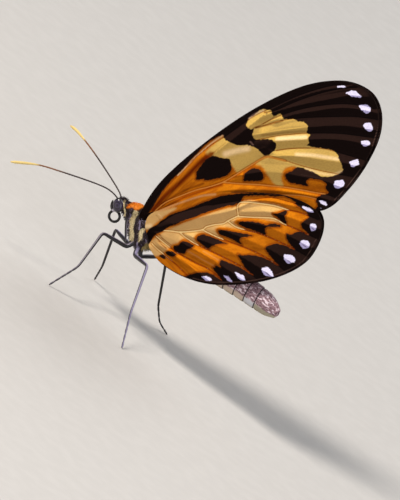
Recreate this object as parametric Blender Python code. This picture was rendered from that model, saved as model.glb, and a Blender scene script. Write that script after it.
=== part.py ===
"""A polymnia tigerwing butterfly, life size, standing with its wings closed over its back.

Lengths are millimetres until a mesh is made. +X runs to the tail, -Y is the butterfly's
left, +Z is up, and the four walking feet stand on z = 0. At the end everything is moved
along X and Y, so that the origin lies under the middle of the whole.
"""
import math

import bmesh
import bpy
from mathutils import Matrix, Vector
from mathutils.geometry import delaunay_2d_cdt

MM = 0.001
GAP = 0.3  # clear space between a piece and what it grows from

# Wings: outlines and veins as (x, z) in the butterfly's upright middle plane
WING_THICKNESS = 0.5
WING_EDGE_THICKNESS = 0.4
VEIN_HEIGHT = 0.15
VEIN_HALF_WIDTH = 0.35
RIM_STEP = 1.5
VEIN_STEP = 1.8
MEMBRANE_STEP = 2.6
ROW_SHARE = 0.87  # from one row of the membrane's net to the next, as a share of its step
NET_TO_RIM = 0.5  # how near the net comes to the rim and to a vein, as shares of its step
NET_TO_VEIN = 0.45
RIDGE_TO_RIM = 0.4  # where a vein's ridge stops short of the rim
RIM_WIDTH = 0.05
FOREWING_OUTLINE = [
    (-1.2, 13.0), (-2.1, 13.8), (-2.5, 19.0), (-1.15, 26.2), (1.5, 34.2), (5.0, 41.0),
    (8.7, 44.9), (12.4, 46.3), (15.2, 45.3), (17.25, 42.5), (18.2, 38.3), (18.25, 33.9),
    (17.3, 29.7), (13.1, 25.7), (8.2, 21.2), (3.6, 16.9), (0.4, 13.3),
]
FOREWING_VEINS = [
    [(-1.5, 14.6), (-1.75, 19.0), (-0.4, 26.0), (2.2, 33.6), (5.8, 40.2), (11.5, 45.3)],
    [
        (-0.8, 14.4), (0.2, 16.8), (2.6, 21.4), (4.4, 24.2), (5.5, 27.2), (7.2, 30.4),
        (11.4, 32.9), (17.3, 35.5),
    ],
    [(4.4, 24.2), (7.6, 26.4), (11.2, 28.9), (14.2, 30.7), (17.1, 31.9)],
    [(-0.3, 14.8), (3.4, 18.4), (8.0, 23.4), (12.0, 27.4), (16.8, 30.0)],
    [(3.2, 36.0), (5.4, 34.7), (6.8, 32.8), (7.2, 30.4)],
    [(4.8, 35.2), (9.8, 40.6), (14.1, 44.6)],
    [(6.3, 33.8), (11.6, 38.6), (16.4, 42.3)],
    [(7.0, 31.8), (12.1, 35.8), (17.5, 39.4)],
]
HINDWING_OUTLINE = [
    (0.8, 12.0), (-0.35, 13.2), (-0.75, 14.65), (0.1, 16.4), (1.65, 19.0), (3.3, 21.4),
    (5.45, 23.45), (8.7, 26.0), (12.3, 28.3), (15.9, 29.4), (18.2, 28.9), (19.6, 26.6),
    (19.95, 22.9), (18.3, 19.2), (15.6, 15.9), (11.85, 12.75), (8.1, 11.0), (4.6, 10.5),
    (2.2, 11.05),
]
HINDWING_VEINS = [
    [(0.7, 14.0), (1.6, 16.6), (3.8, 19.8), (6.4, 22.6)],
    [
        (1.2, 13.2), (3.7, 15.2), (6.0, 17.4), (7.8, 19.9), (8.8, 21.7), (12.0, 23.8),
        (18.4, 26.2),
    ],
    [(8.8, 21.7), (8.4, 23.6), (12.7, 26.4), (17.4, 28.0)],
    [(7.8, 19.9), (10.8, 21.1), (14.5, 22.5), (19.1, 23.7)],
    [(6.0, 17.4), (8.8, 18.0), (11.7, 19.0), (15.4, 20.0), (18.0, 20.4)],
    [(3.7, 15.2), (6.2, 15.4), (9.9, 16.1), (15.6, 16.9)],
    [(1.8, 12.8), (4.5, 12.9), (7.4, 13.0), (11.2, 13.4)],
]

# The right wings don't lie exactly behind the left ones
RIGHT_FOREWING_SHIFT = (0.15, 0.12)
RIGHT_HINDWING_SHIFT = (-0.45, -0.3)

# How far each wing's middle surface lies from the middle plane
FOREWING_ROOT = (-0.9, 13.2)
FOREWING_FLAT_Y = 0.4
FOREWING_ROOT_Y = 1.55
FOREWING_ROOT_DIP = 0.45
FOREWING_DIP_REACH = 1.6
WING_SPREAD_REACH = (1.5, 14.0)  # from the root, where the wings close up to each other
HINDWING_ROOT = (0.9, 12.1)
HINDWING_OVER_FOREWING = 0.95
HINDWING_FLAT_Y = 1.35
HINDWING_BODY_BULGE = 0.6
HINDWING_THORAX_BULGE = 0.25
HINDWING_ROOT_DIP = 0.75
HINDWING_DIP_REACH = 1.5
BULGE_HEIGHTS = (1.5, 7.0)  # above the abdomen's line, where the bulge ends
THORAX_BULGE_ENDS = (4.0, 8.0)
BEND_ROUNDING = 0.1
ABDOMEN_LINE = ((3.0, 12.2), (21.0, 15.2))  # a line along the abdomen, for the wings' bulge

# Trunk: stations of (x, z, half height, half width) from front to back
THORAX = [
    (-3.4, 12.65, 0.5, 0.6), (-2.7, 12.65, 1.15, 1.15), (-1.7, 12.4, 1.95, 1.5),
    (-0.7, 12.05, 2.55, 1.7), (0.2, 11.95, 2.6, 1.7), (1.0, 12.0, 2.0, 1.55),
    (1.8, 12.05, 1.4, 1.3), (2.7, 12.1, 0.8, 0.8),
]
PROTHORAX = [
    (-4.9, 13.1, 0.7, 0.7), (-4.2, 12.85, 1.0, 1.0), (-3.3, 12.65, 1.15, 1.1),
    (-2.7, 12.6, 1.0, 1.0),
]
COLLAR = [
    (-4.7, 13.35, 0.25, 0.6), (-4.0, 13.35, 0.75, 1.3), (-3.0, 13.4, 0.85, 1.45),
    (-2.3, 13.5, 0.5, 1.1),
]
ABDOMEN = [
    (2.7, 12.0, 0.9, 0.85), (5.8, 12.85, 1.4, 1.25), (9.0, 13.65, 1.65, 1.35),
    (12.0, 14.2, 1.75, 1.4), (15.0, 14.6, 1.75, 1.35), (18.0, 14.8, 1.65, 1.2),
    (19.5, 14.75, 1.4, 1.05), (20.8, 14.65, 0.8, 0.65),
]
ABDOMEN_SEGMENTS = 8
RINGS_PER_SEGMENT = 3
SEGMENT_GROOVE = 0.93  # share of the abdomen's size left in the groove between two segments

POLE_RISE = 0.35  # how far a body's end bulges, as a share of its last half height
TRUNK_SIDES = 16
THORAX_SIDES = 20
THORAX_RINGS = 15
NECK_RINGS = 8

# Head: measured forwards, sideways and up from its own centre, then pitched nose down
HEAD_CENTRE = (-5.2, 12.65)
HEAD_PITCH = math.radians(37)
HEAD_RADII = (0.95, 1.15, 1.05)
HEAD_OFFSET = (-0.1, 0.0, 0.0)
EYE_RADII = (0.68, 0.5, 0.9)
EYE_PLACE = (0.05, 1.15, 0.05)
PALP_PATH = [
    (0.2, 0.6, -0.55), (0.75, 0.7, -0.75), (1.07, 0.68, -0.4), (1.12, 0.55, 0.2),
    (1.0, 0.45, 0.7),
]
PALP_RADII = [0.2, 0.23, 0.26, 0.22, 0.12]
COIL_CENTRE = (0.945, -1.5)
COIL_RADIUS = 0.74
COIL_START_ANGLE = math.radians(75)
COIL_SWEEP = math.radians(325)
PROBOSCIS_ROOT = (0.25, -0.35)
PROBOSCIS_RADIUS = 0.19
COIL_STEPS = 20
HEAD_SEGMENTS, HEAD_RINGS = 20, 14
EYE_SEGMENTS, EYE_RINGS = 16, 12

# Feelers, from inside the head to the tip, as (x, y, z)
FEELER_LEFT = [
    (-5.6, -0.45, 13.1), (-7.1, -1.45, 13.6), (-8.9, -2.75, 13.5), (-13.1, -6.0, 12.5),
    (-15.9, -8.15, 11.65), (-18.6, -10.5, 10.2),
]
FEELER_RIGHT = [
    (-5.6, 0.45, 13.1), (-7.2, 1.5, 13.7), (-13.0, 5.35, 14.4), (-17.5, 8.35, 14.6),
    (-19.4, 9.5, 14.4),
]
FEELER_RADIUS = 0.25
CLUB_RADIUS = 0.31
CLUB_SHARE = 0.22  # part of the feeler's length that is club
FEELER_STEP = 0.8
TIP_SHARE = 0.04
TIP_TAPER = 0.5

# Legs, from inside the thorax over the hip, the knee and the shin's end to the foot
LEGS = {
    "midleg_left": [
        (-0.5, -0.6, 10.3), (-0.9, -1.25, 9.0), (-4.1, -4.0, 9.1), (-3.3, -7.5, 4.2),
        (-4.7, -9.0, 0.1),
    ],
    "midleg_right": [
        (-0.7, 0.6, 10.3), (-1.2, 1.25, 8.8), (-4.7, 4.0, 8.6), (-3.9, 7.5, 2.6),
        (-4.0, 9.0, 0.1),
    ],
    "hindleg_left": [
        (0.1, -0.6, 10.2), (0.6, -1.25, 8.8), (3.7, -5.0, 9.7), (6.5, -9.0, 4.3),
        (8.7, -10.4, 0.1),
    ],
    "hindleg_right": [
        (0.1, 0.6, 10.2), (0.75, 1.25, 8.5), (3.0, 5.0, 9.9), (5.2, 9.0, 2.9),
        (6.4, 10.2, 1.0), (8.1, 11.0, 0.1),
    ],
}
LEG_RADII = [0.5, 0.38, 0.3, 0.27, 0.24]
KNEE_BEND = 0.5  # how far from a joint its bend begins
KNEE_ROUNDING = 0.4
LEG_SIDES = 10
THIN_SIDES = 8
END_ROUNDING = 0.5  # how far a bar's end bulges, as a share of its radius
FORELEG = [(-3.9, 0.5, 12.4), (-3.6, 0.85, 11.6), (-2.85, 1.05, 10.6), (-1.85, 1.05, 9.3)]
FORELEG_RADII = [0.3, 0.3, 0.28, 0.22]

# Names, colours in linear light and roughness
MATERIALS = {
    "wing": ((0.55, 0.2, 0.03), 0.6),
    "body": ((0.025, 0.016, 0.018), 0.75),
    "collar": ((0.6, 0.2, 0.02), 0.7),
    "abdomen": ((0.18, 0.09, 0.1), 0.6),
    "eye": ((0.02, 0.013, 0.02), 0.15),
    "leg": ((0.02, 0.014, 0.016), 0.5),
}


def clear_scene():
    for obj in list(bpy.data.objects):
        bpy.data.objects.remove(obj, do_unlink=True)


def material(name):
    """One Principled material of the given name, made the first time it is asked for."""
    found = bpy.data.materials.get(name)
    if found:
        return found
    colour, roughness = MATERIALS[name]
    made = bpy.data.materials.new(name)
    made.use_nodes = True
    surface = made.node_tree.nodes["Principled BSDF"]
    surface.inputs["Base Color"].default_value = (*colour, 1.0)
    surface.inputs["Roughness"].default_value = roughness
    return made


def object_of(name, shape, finish):
    """An object from a bmesh in millimetres, which is freed."""
    bmesh.ops.scale(shape, vec=(MM, MM, MM), verts=shape.verts)
    mesh = bpy.data.meshes.new(name)
    shape.to_mesh(mesh)
    shape.free()
    mesh.shade_smooth()
    mesh.set_sharp_from_angle(angle=math.radians(50))
    mesh.materials.append(material(finish))
    made = bpy.data.objects.new(name, mesh)
    bpy.context.scene.collection.objects.link(made)
    return made


def smooth_step(value, low, high):
    share = min(max((value - low) / (high - low), 0.0), 1.0)
    return share * share * (3 - 2 * share)


def blend(first, second, share):
    return tuple(a + (b - a) * share for a, b in zip(first, second))


def catmull_rom(before, start, end, after, share):
    """A point of the smooth curve from start to end, given its neighbours."""
    found = []
    for a, b, c, d in zip(before, start, end, after):
        second = 2 * a - 5 * b + 4 * c - d
        third = 3 * b - a - 3 * c + d
        found.append(b + 0.5 * share * (c - a + share * (second + share * third)))
    return tuple(found)


def curve_point(points, place, closed=False):
    """The smooth curve through the points, at place 0 for the first and 1 for each next one."""
    count = len(points)
    index = int(place)
    if closed:
        around = [points[(index + k) % count] for k in (-1, 0, 1, 2)]
        return catmull_rom(*around, place - index)
    index = min(index, count - 2)
    first = points[index - 1] if index else blend(points[1], points[0], 2.0)
    last = points[index + 2] if index + 2 < count else blend(points[-2], points[-1], 2.0)
    return catmull_rom(first, points[index], points[index + 1], last, place - index)


def curve_samples(points, step, closed=False):
    """Points about one step apart along the smooth curve through the given ones."""
    spans = len(points) if closed else len(points) - 1
    fine = [curve_point(points, k / 20, closed) for k in range(20 * spans + 1)]
    lengths = [0.0]
    for start, end in zip(fine, fine[1:]):
        lengths.append(lengths[-1] + math.dist(start, end))
    count = max(round(lengths[-1] / step), 2)
    samples = []
    at = 0
    for k in range(count if closed else count + 1):
        target = lengths[-1] * k / count
        while at < len(lengths) - 2 and lengths[at + 1] < target:
            at += 1
        share = (target - lengths[at]) / max(lengths[at + 1] - lengths[at], 1e-9)
        samples.append(blend(fine[at], fine[at + 1], share))
    return samples


def close_rings(shape, rings, first_pole, last_pole):
    """Skins rings of vertices into one closed surface, with a fan to a pole at each end."""
    loops = [[shape.verts.new(co) for co in ring] for ring in rings]
    start = shape.verts.new(first_pole)
    end = shape.verts.new(last_pole)
    sides = len(loops[0])
    for k in range(sides):
        after = (k + 1) % sides
        shape.faces.new((start, loops[0][after], loops[0][k]))
        shape.faces.new((end, loops[-1][k], loops[-1][after]))
        for near, far in zip(loops, loops[1:]):
            shape.faces.new((near[k], near[after], far[after], far[k]))
    bmesh.ops.recalc_face_normals(shape, faces=shape.faces)


def loft(stations, rings, sides, grow=0.0, groove_every=0):
    """A body of ellipses along a curve in the middle plane, as a bmesh. Grow makes it fatter."""
    shape = bmesh.new()
    last = len(stations) - 1
    cuts = [curve_point(stations, last * k / (rings - 1)) for k in range(rings)]
    loops = []
    for k, (x, z, half_height, half_width) in enumerate(cuts):
        before = cuts[max(k - 1, 0)]
        after = cuts[min(k + 1, rings - 1)]
        along = Vector((after[0] - before[0], 0, after[1] - before[1])).normalized()
        up = Vector((-along.z, 0, along.x))
        share = SEGMENT_GROOVE if groove_every and k % groove_every == 0 else 1.0
        loop = []
        for side in range(sides):
            turn = 2 * math.pi * side / sides
            rise = (half_height * share + grow) * math.sin(turn)
            out = (half_width * share + grow) * math.cos(turn)
            loop.append(Vector((x, 0, z)) + up * rise + Vector((0, out, 0)))
        loops.append(loop)
        if k == 0:
            first_pole = Vector((x, 0, z)) - along * (POLE_RISE * half_height + grow)
        last_pole = Vector((x, 0, z)) + along * (POLE_RISE * half_height + grow)
    close_rings(shape, loops, first_pole, last_pole)
    return shape


def tube(path, radii, sides):
    """A round bar of changing thickness along a list of points, as a bmesh."""
    shape = bmesh.new()
    path = [Vector(point) for point in path]
    loops = []
    across = None
    for k, point in enumerate(path):
        along = (path[min(k + 1, len(path) - 1)] - path[max(k - 1, 0)]).normalized()
        if across is None:
            across = along.orthogonal()
        across = (across - along * across.dot(along)).normalized()
        other = along.cross(across)
        turns = [2 * math.pi * side / sides for side in range(sides)]
        loops.append([point + (across * math.cos(t) + other * math.sin(t)) * radii[k] for t in turns])
    first_pole = path[0] - (path[1] - path[0]).normalized() * radii[0] * END_ROUNDING
    last_pole = path[-1] + (path[-1] - path[-2]).normalized() * radii[-1] * END_ROUNDING
    close_rings(shape, loops, first_pole, last_pole)
    return shape


def smooth_tube(points, radii, per_span, sides):
    """A tube along the smooth curve through a few points, with a radius given at each."""
    places = [k / per_span for k in range(per_span * (len(points) - 1) + 1)]
    path = [curve_point(points, place) for place in places]
    thickness = [curve_point([(radius,) for radius in radii], place)[0] for place in places]
    return tube(path, thickness, sides)


def ellipsoid(radii, segments, rings, grow=0.0):
    shape = bmesh.new()
    bmesh.ops.create_uvsphere(shape, u_segments=segments, v_segments=rings, radius=1.0)
    bmesh.ops.scale(shape, vec=[radius + grow for radius in radii], verts=shape.verts)
    return shape


def head_point(forwards, sideways, up):
    """A place given in the head's own directions, in the butterfly's."""
    x = HEAD_CENTRE[0] - forwards * math.cos(HEAD_PITCH) - up * math.sin(HEAD_PITCH)
    z = HEAD_CENTRE[1] - forwards * math.sin(HEAD_PITCH) + up * math.cos(HEAD_PITCH)
    return Vector((x, sideways, z))


def place_in_head(shape, offset):
    """Pitches a bmesh made about its own centre and sets it at its place in the head."""
    turn = Matrix.Rotation(-HEAD_PITCH, 4, "Y")
    place = Matrix.Translation(head_point(*offset))
    bmesh.ops.transform(shape, matrix=place @ turn, verts=shape.verts)
    return shape


def enclosed_volume(faces):
    """Three times the space inside closed faces."""
    return abs(sum(face.calc_center_median().dot(face.normal) * face.calc_area() for face in faces))


def keep_largest_surface(mesh):
    """Drops every closed surface of a mesh but the one that holds the most."""
    shape = bmesh.new()
    shape.from_mesh(mesh)
    groups = []
    waiting = set(shape.faces)
    while waiting:
        front = [waiting.pop()]
        group = list(front)
        while front:
            near = {face for edge in front.pop().edges for face in edge.link_faces} & waiting
            waiting -= near
            front.extend(near)
            group.extend(near)
        groups.append(group)
    kept = max(groups, key=enclosed_volume)
    scraps = [face for group in groups if group is not kept for face in group]
    bmesh.ops.delete(shape, geom=scraps, context="FACES")
    bmesh.ops.triangulate(shape, faces=shape.faces)
    shape.to_mesh(mesh)
    shape.free()


def cut_clear(obj, shapes):
    """Cuts an object clear of other shapes, given as bmeshes already grown by the gap."""
    cutters = [object_of(f"{obj.name}_cutter", shape, "body") for shape in shapes]
    for cutter in cutters:
        cutter.hide_render = True
        cutter.display_type = "WIRE"
        modifier = obj.modifiers.new("Clear", "BOOLEAN")
        modifier.operation = "DIFFERENCE"
        modifier.solver = "EXACT"
        modifier.object = cutter
    graph = bpy.context.evaluated_depsgraph_get()
    mesh = bpy.data.meshes.new_from_object(obj.evaluated_get(graph))
    obj.modifiers.clear()
    obj.data = mesh
    keep_largest_surface(mesh)
    for cutter in cutters:
        bpy.data.objects.remove(cutter, do_unlink=True)


def thorax_shape(grow=0.0):
    return loft(THORAX, THORAX_RINGS, THORAX_SIDES, grow)


def prothorax_shape(grow=0.0):
    return loft(PROTHORAX, NECK_RINGS, TRUNK_SIDES, grow)


def head_shape(grow=0.0):
    return place_in_head(ellipsoid(HEAD_RADII, HEAD_SEGMENTS, HEAD_RINGS, grow), HEAD_OFFSET)


def eye_shape(side, grow=0.0):
    forwards, sideways, up = EYE_PLACE
    eye = ellipsoid(EYE_RADII, EYE_SEGMENTS, EYE_RINGS, grow)
    return place_in_head(eye, (forwards, side * sideways, up))


def build_trunk():
    object_of("thorax", thorax_shape(), "body")
    prothorax = object_of("prothorax", prothorax_shape(), "body")
    cut_clear(prothorax, [thorax_shape(GAP), head_shape(GAP)])
    collar = object_of("collar", loft(COLLAR, NECK_RINGS, TRUNK_SIDES), "collar")
    cut_clear(collar, [thorax_shape(GAP), prothorax_shape(GAP), head_shape(GAP)])
    rings = RINGS_PER_SEGMENT * ABDOMEN_SEGMENTS + 1
    shape = loft(ABDOMEN, rings, TRUNK_SIDES, groove_every=RINGS_PER_SEGMENT)
    abdomen = object_of("abdomen", shape, "abdomen")
    cut_clear(abdomen, [thorax_shape(GAP)])


def coil_path():
    """The tongue's centre line, from inside the head and once round its coil."""
    points = [head_point(PROBOSCIS_ROOT[0], 0, PROBOSCIS_ROOT[1])]
    for k in range(COIL_STEPS + 1):
        angle = COIL_START_ANGLE - COIL_SWEEP * k / COIL_STEPS
        forwards = COIL_CENTRE[0] + COIL_RADIUS * math.cos(angle)
        points.append(head_point(forwards, 0, COIL_CENTRE[1] + COIL_RADIUS * math.sin(angle)))
    return points


def build_head():
    head = object_of("head", head_shape(), "body")
    cut_clear(head, [eye_shape(-1, GAP), eye_shape(1, GAP)])
    coil = coil_path()
    proboscis = object_of("proboscis", tube(coil, [PROBOSCIS_RADIUS] * len(coil), THIN_SIDES), "leg")
    cut_clear(proboscis, [head_shape(GAP)])
    for name, side, feeler in (("left", -1, FEELER_LEFT), ("right", 1, FEELER_RIGHT)):
        object_of(f"eye_{name}", eye_shape(side), "eye")
        path = [tuple(head_point(forwards, side * out, up)) for forwards, out, up in PALP_PATH]
        palp = object_of(f"palp_{name}", smooth_tube(path, PALP_RADII, 2, THIN_SIDES), "leg")
        cut_clear(palp, [head_shape(GAP), eye_shape(side, GAP)])
        build_feeler(f"antenna_{name}", feeler, side)


def feeler_radius(share):
    """Thickness along the feeler: a thin shaft, then a long club with a rounded tip."""
    club = smooth_step(share, 1 - CLUB_SHARE, 1 - 0.5 * CLUB_SHARE)
    tip = 1 - TIP_TAPER * smooth_step(share, 1 - TIP_SHARE, 1.0)
    return (FEELER_RADIUS + (CLUB_RADIUS - FEELER_RADIUS) * club) * tip


def build_feeler(name, points, side):
    path = curve_samples(points, FEELER_STEP)
    radii = [feeler_radius(k / (len(path) - 1)) for k in range(len(path))]
    feeler = object_of(name, tube(path, radii, THIN_SIDES), "leg")
    cut_clear(feeler, [head_shape(GAP), eye_shape(side, GAP)])


def bent_path(points, radii):
    """A leg's bars with each joint rounded off, and the thickness at each point."""
    path = [points[0]]
    thickness = [radii[0]]
    for k in range(1, len(points) - 1):
        before = math.dist(points[k], points[k - 1])
        after = math.dist(points[k], points[k + 1])
        entry = blend(points[k], points[k - 1], KNEE_BEND / before)
        leave = blend(points[k], points[k + 1], KNEE_BEND / after)
        path += [entry, blend(points[k], blend(entry, leave, 0.5), KNEE_ROUNDING), leave]
        thickness += [radii[k]] * 3
        if k > 1:
            middle = blend(points[k], points[k + 1], 0.5)
            path.append(middle)
            thickness.append((radii[k] + radii[k + 1]) / 2)
    return path + [points[-1]], thickness + [radii[-1]]


def cut_at_floor(shape):
    """Cuts a foot flat where it meets the floor."""
    geometry = shape.verts[:] + shape.edges[:] + shape.faces[:]
    down = Vector((0, 0, -1))
    bmesh.ops.bisect_plane(shape, geom=geometry, plane_co=(0, 0, 0), plane_no=down, clear_outer=True)
    rim = [edge for edge in shape.edges if edge.is_boundary]
    bmesh.ops.contextual_create(shape, geom=rim)
    bmesh.ops.recalc_face_normals(shape, faces=shape.faces)


def build_legs():
    for name, points in LEGS.items():
        extra = len(points) - len(LEG_RADII)
        path, radii = bent_path(points, LEG_RADII + LEG_RADII[-1:] * extra)
        shape = tube(path, radii, LEG_SIDES)
        cut_at_floor(shape)
        leg = object_of(name, shape, "leg")
        cut_clear(leg, [thorax_shape(GAP)])
    for name, side in (("foreleg_left", -1), ("foreleg_right", 1)):
        path = [(x, side * y, z) for x, y, z in FORELEG]
        leg = object_of(name, smooth_tube(path, FORELEG_RADII, 3, THIN_SIDES), "leg")
        cut_clear(leg, [prothorax_shape(GAP), thorax_shape(GAP), head_shape(GAP)])


def forewing_y(x, z):
    """How far the forewing's middle surface is from the middle plane."""
    reach = math.dist((x, z), FOREWING_ROOT)
    spread = (FOREWING_ROOT_Y - FOREWING_FLAT_Y) * (1 - smooth_step(reach, *WING_SPREAD_REACH))
    dip = FOREWING_ROOT_DIP * (1 - smooth_step(reach, 0.0, FOREWING_DIP_REACH))
    return FOREWING_FLAT_Y + spread - dip


def hindwing_y(x, z):
    """The hindwing lies outside the forewing and bulges round the abdomen and the thorax."""
    reach = math.dist((x, z), FOREWING_ROOT)
    spread = (FOREWING_ROOT_Y - FOREWING_FLAT_Y) * (1 - smooth_step(reach, *WING_SPREAD_REACH))
    over_forewing = FOREWING_FLAT_Y + spread + HINDWING_OVER_FOREWING
    start, end = (Vector(point) for point in ABDOMEN_LINE)
    along = (end - start).normalized()
    offset = Vector((x, z)) - start
    height = offset.y * along.x - offset.x * along.y
    bulge = HINDWING_BODY_BULGE + HINDWING_THORAX_BULGE * (1 - smooth_step(x, *THORAX_BULGE_ENDS))
    over_body = HINDWING_FLAT_Y + bulge * (1 - smooth_step(height, *BULGE_HEIGHTS))
    outer = (over_forewing + over_body + math.hypot(over_forewing - over_body, BEND_ROUNDING)) / 2
    from_root = math.dist((x, z), HINDWING_ROOT)
    dip = HINDWING_ROOT_DIP * (1 - smooth_step(from_root, 0.0, HINDWING_DIP_REACH))
    return outer - dip


def distance_to_line(point, line):
    """Distance from a flat point to the nearest segment of a line."""
    nearest = math.inf
    for start, end in zip(line, line[1:]):
        run = (end[0] - start[0], end[1] - start[1])
        reach = (point[0] - start[0], point[1] - start[1])
        share = (reach[0] * run[0] + reach[1] * run[1]) / max(run[0] ** 2 + run[1] ** 2, 1e-12)
        nearest = min(nearest, math.dist(point, blend(start, end, min(max(share, 0.0), 1.0))))
    return nearest


def inside(point, outline):
    """Whether a flat point lies inside a closed outline."""
    crossings = 0
    for (x1, z1), (x2, z2) in zip(outline, outline[1:] + outline[:1]):
        if (z1 > point[1]) != (z2 > point[1]):
            crossings += point[0] < x1 + (point[1] - z1) * (x2 - x1) / (z2 - z1)
    return crossings % 2 == 1


def vein_points(veins):
    """Points and centre-line edges along the veins, with a point at each side of every one."""
    points, edges = [], []
    for vein in veins:
        line = curve_samples(vein, VEIN_STEP)
        first = len(points)
        points += line
        edges += [(first + k, first + k + 1) for k in range(len(line) - 1)]
    sides = []
    for vein in veins:
        line = curve_samples(vein, VEIN_STEP)
        for k in range(1, len(line) - 1):
            run = Vector(line[k + 1]) - Vector(line[k - 1])
            out = Vector((-run.y, run.x)).normalized() * VEIN_HALF_WIDTH
            sides += [tuple(Vector(line[k]) + out), tuple(Vector(line[k]) - out)]
    return points, edges, sides


def membrane_points(outline, lines):
    """Points of an even net over the membrane, clear of its rim and of the veins."""
    rim = outline + outline[:1]
    xs = [x for x, _ in outline]
    zs = [z for _, z in outline]
    found = []
    rows = int((max(zs) - min(zs)) / (MEMBRANE_STEP * ROW_SHARE)) + 1
    columns = int((max(xs) - min(xs)) / MEMBRANE_STEP) + 2
    for row in range(rows):
        for column in range(columns):
            shift = MEMBRANE_STEP / 2 * (row % 2)
            across = min(xs) + column * MEMBRANE_STEP + shift
            point = (across, min(zs) + row * MEMBRANE_STEP * ROW_SHARE)
            if not inside(point, outline):
                continue
            if distance_to_line(point, rim) < NET_TO_RIM * MEMBRANE_STEP:
                continue
            if all(distance_to_line(point, line) > NET_TO_VEIN * MEMBRANE_STEP for line in lines):
                found.append(point)
    return found


def wing_net(outline, veins):
    """The wing's flat triangles: points, triangles and the number of rim points, which come first."""
    rim = curve_samples(outline, RIM_STEP, closed=True)
    lines = [curve_samples(vein, 0.5) for vein in veins]
    centres, edges, sides = vein_points(veins)
    points = list(rim)
    rim_edges = [(k, (k + 1) % len(rim)) for k in range(len(rim))]
    vein_edges = [(a + len(rim), b + len(rim)) for a, b in edges]
    points += centres
    for side in sides:
        to_vein = min(distance_to_line(side, line) for line in lines)
        to_rim = distance_to_line(side, rim + rim[:1])
        if to_vein >= 0.9 * VEIN_HALF_WIDTH and to_rim > RIDGE_TO_RIM:
            points.append(side)
    points += membrane_points(rim, lines)
    flat, _, faces, *_ = delaunay_2d_cdt(
        [Vector(point) for point in points], rim_edges + vein_edges, [], 0, 1e-4
    )
    flat = [tuple(point) for point in flat]
    triangles = []
    for face in faces:
        middle = tuple(sum(flat[k][axis] for k in face) / 3 for axis in (0, 1))
        if inside(middle, rim):
            triangles.append(tuple(face))
    return flat, triangles, lines, rim


def wing_shape(outline, veins, middle_y, side):
    """One wing: two faces with the same triangles, raised over the veins outside, and a rim."""
    flat, triangles, lines, rim = wing_net(outline, veins)
    rim_line = rim + rim[:1]
    shape = bmesh.new()
    outer, inner = [], []
    for x, z in flat:
        at_rim = distance_to_line((x, z), rim_line) < RIM_WIDTH
        half = (WING_EDGE_THICKNESS if at_rim else WING_THICKNESS) / 2
        nearest = min(distance_to_line((x, z), line) for line in lines)
        ridge = 0 if at_rim else VEIN_HEIGHT * max(0, 1 - nearest / VEIN_HALF_WIDTH)
        middle = middle_y(x, z)
        outer.append(shape.verts.new((x, side * (middle + half + ridge), z)))
        inner.append(shape.verts.new((x, side * (middle - half), z)))
    uses = {}
    for a, b, c in triangles:
        shape.faces.new((outer[a], outer[b], outer[c]))
        shape.faces.new((inner[c], inner[b], inner[a]))
        for edge in ((a, b), (b, c), (c, a)):
            uses[frozenset(edge)] = None if frozenset(edge) in uses else edge
    for edge in uses.values():
        if edge:
            a, b = edge
            shape.faces.new((outer[b], outer[a], inner[a]))
            shape.faces.new((outer[b], inner[a], inner[b]))
    bmesh.ops.recalc_face_normals(shape, faces=shape.faces)
    return shape


def shifted(line, shift):
    return [(x + shift[0], z + shift[1]) for x, z in line]


def build_wing(name, outline, veins, shift, middle_y, side):
    outline = shifted(outline, shift)
    veins = [shifted(vein, shift) for vein in veins]
    wing = object_of(name, wing_shape(outline, veins, middle_y, side), "wing")
    cut_clear(wing, [thorax_shape(GAP)])


def build_wings():
    still = (0, 0)
    fore = (FOREWING_OUTLINE, FOREWING_VEINS)
    hind = (HINDWING_OUTLINE, HINDWING_VEINS)
    build_wing("forewing_left", *fore, still, forewing_y, -1)
    build_wing("hindwing_left", *hind, still, hindwing_y, -1)
    build_wing("forewing_right", *fore, RIGHT_FOREWING_SHIFT, forewing_y, 1)
    build_wing("hindwing_right", *hind, RIGHT_HINDWING_SHIFT, hindwing_y, 1)


def move_to_origin():
    """Moves every mesh so that the origin is under the middle of the whole, on the floor."""
    bodies = [obj for obj in bpy.data.objects if obj.type == "MESH"]
    corners = [vertex.co for obj in bodies for vertex in obj.data.vertices]
    shift = Vector((0, 0, 0))
    for axis in (0, 1):
        places = [co[axis] for co in corners]
        shift[axis] = -(min(places) + max(places)) / 2
    for obj in bodies:
        obj.data.transform(Matrix.Translation(shift))


clear_scene()
build_trunk()
build_head()
build_legs()
build_wings()
move_to_origin()
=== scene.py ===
import math
import random

import bmesh
import bpy
import numpy as np
from mathutils import Matrix, Vector
from mathutils.bvhtree import BVHTree


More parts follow.
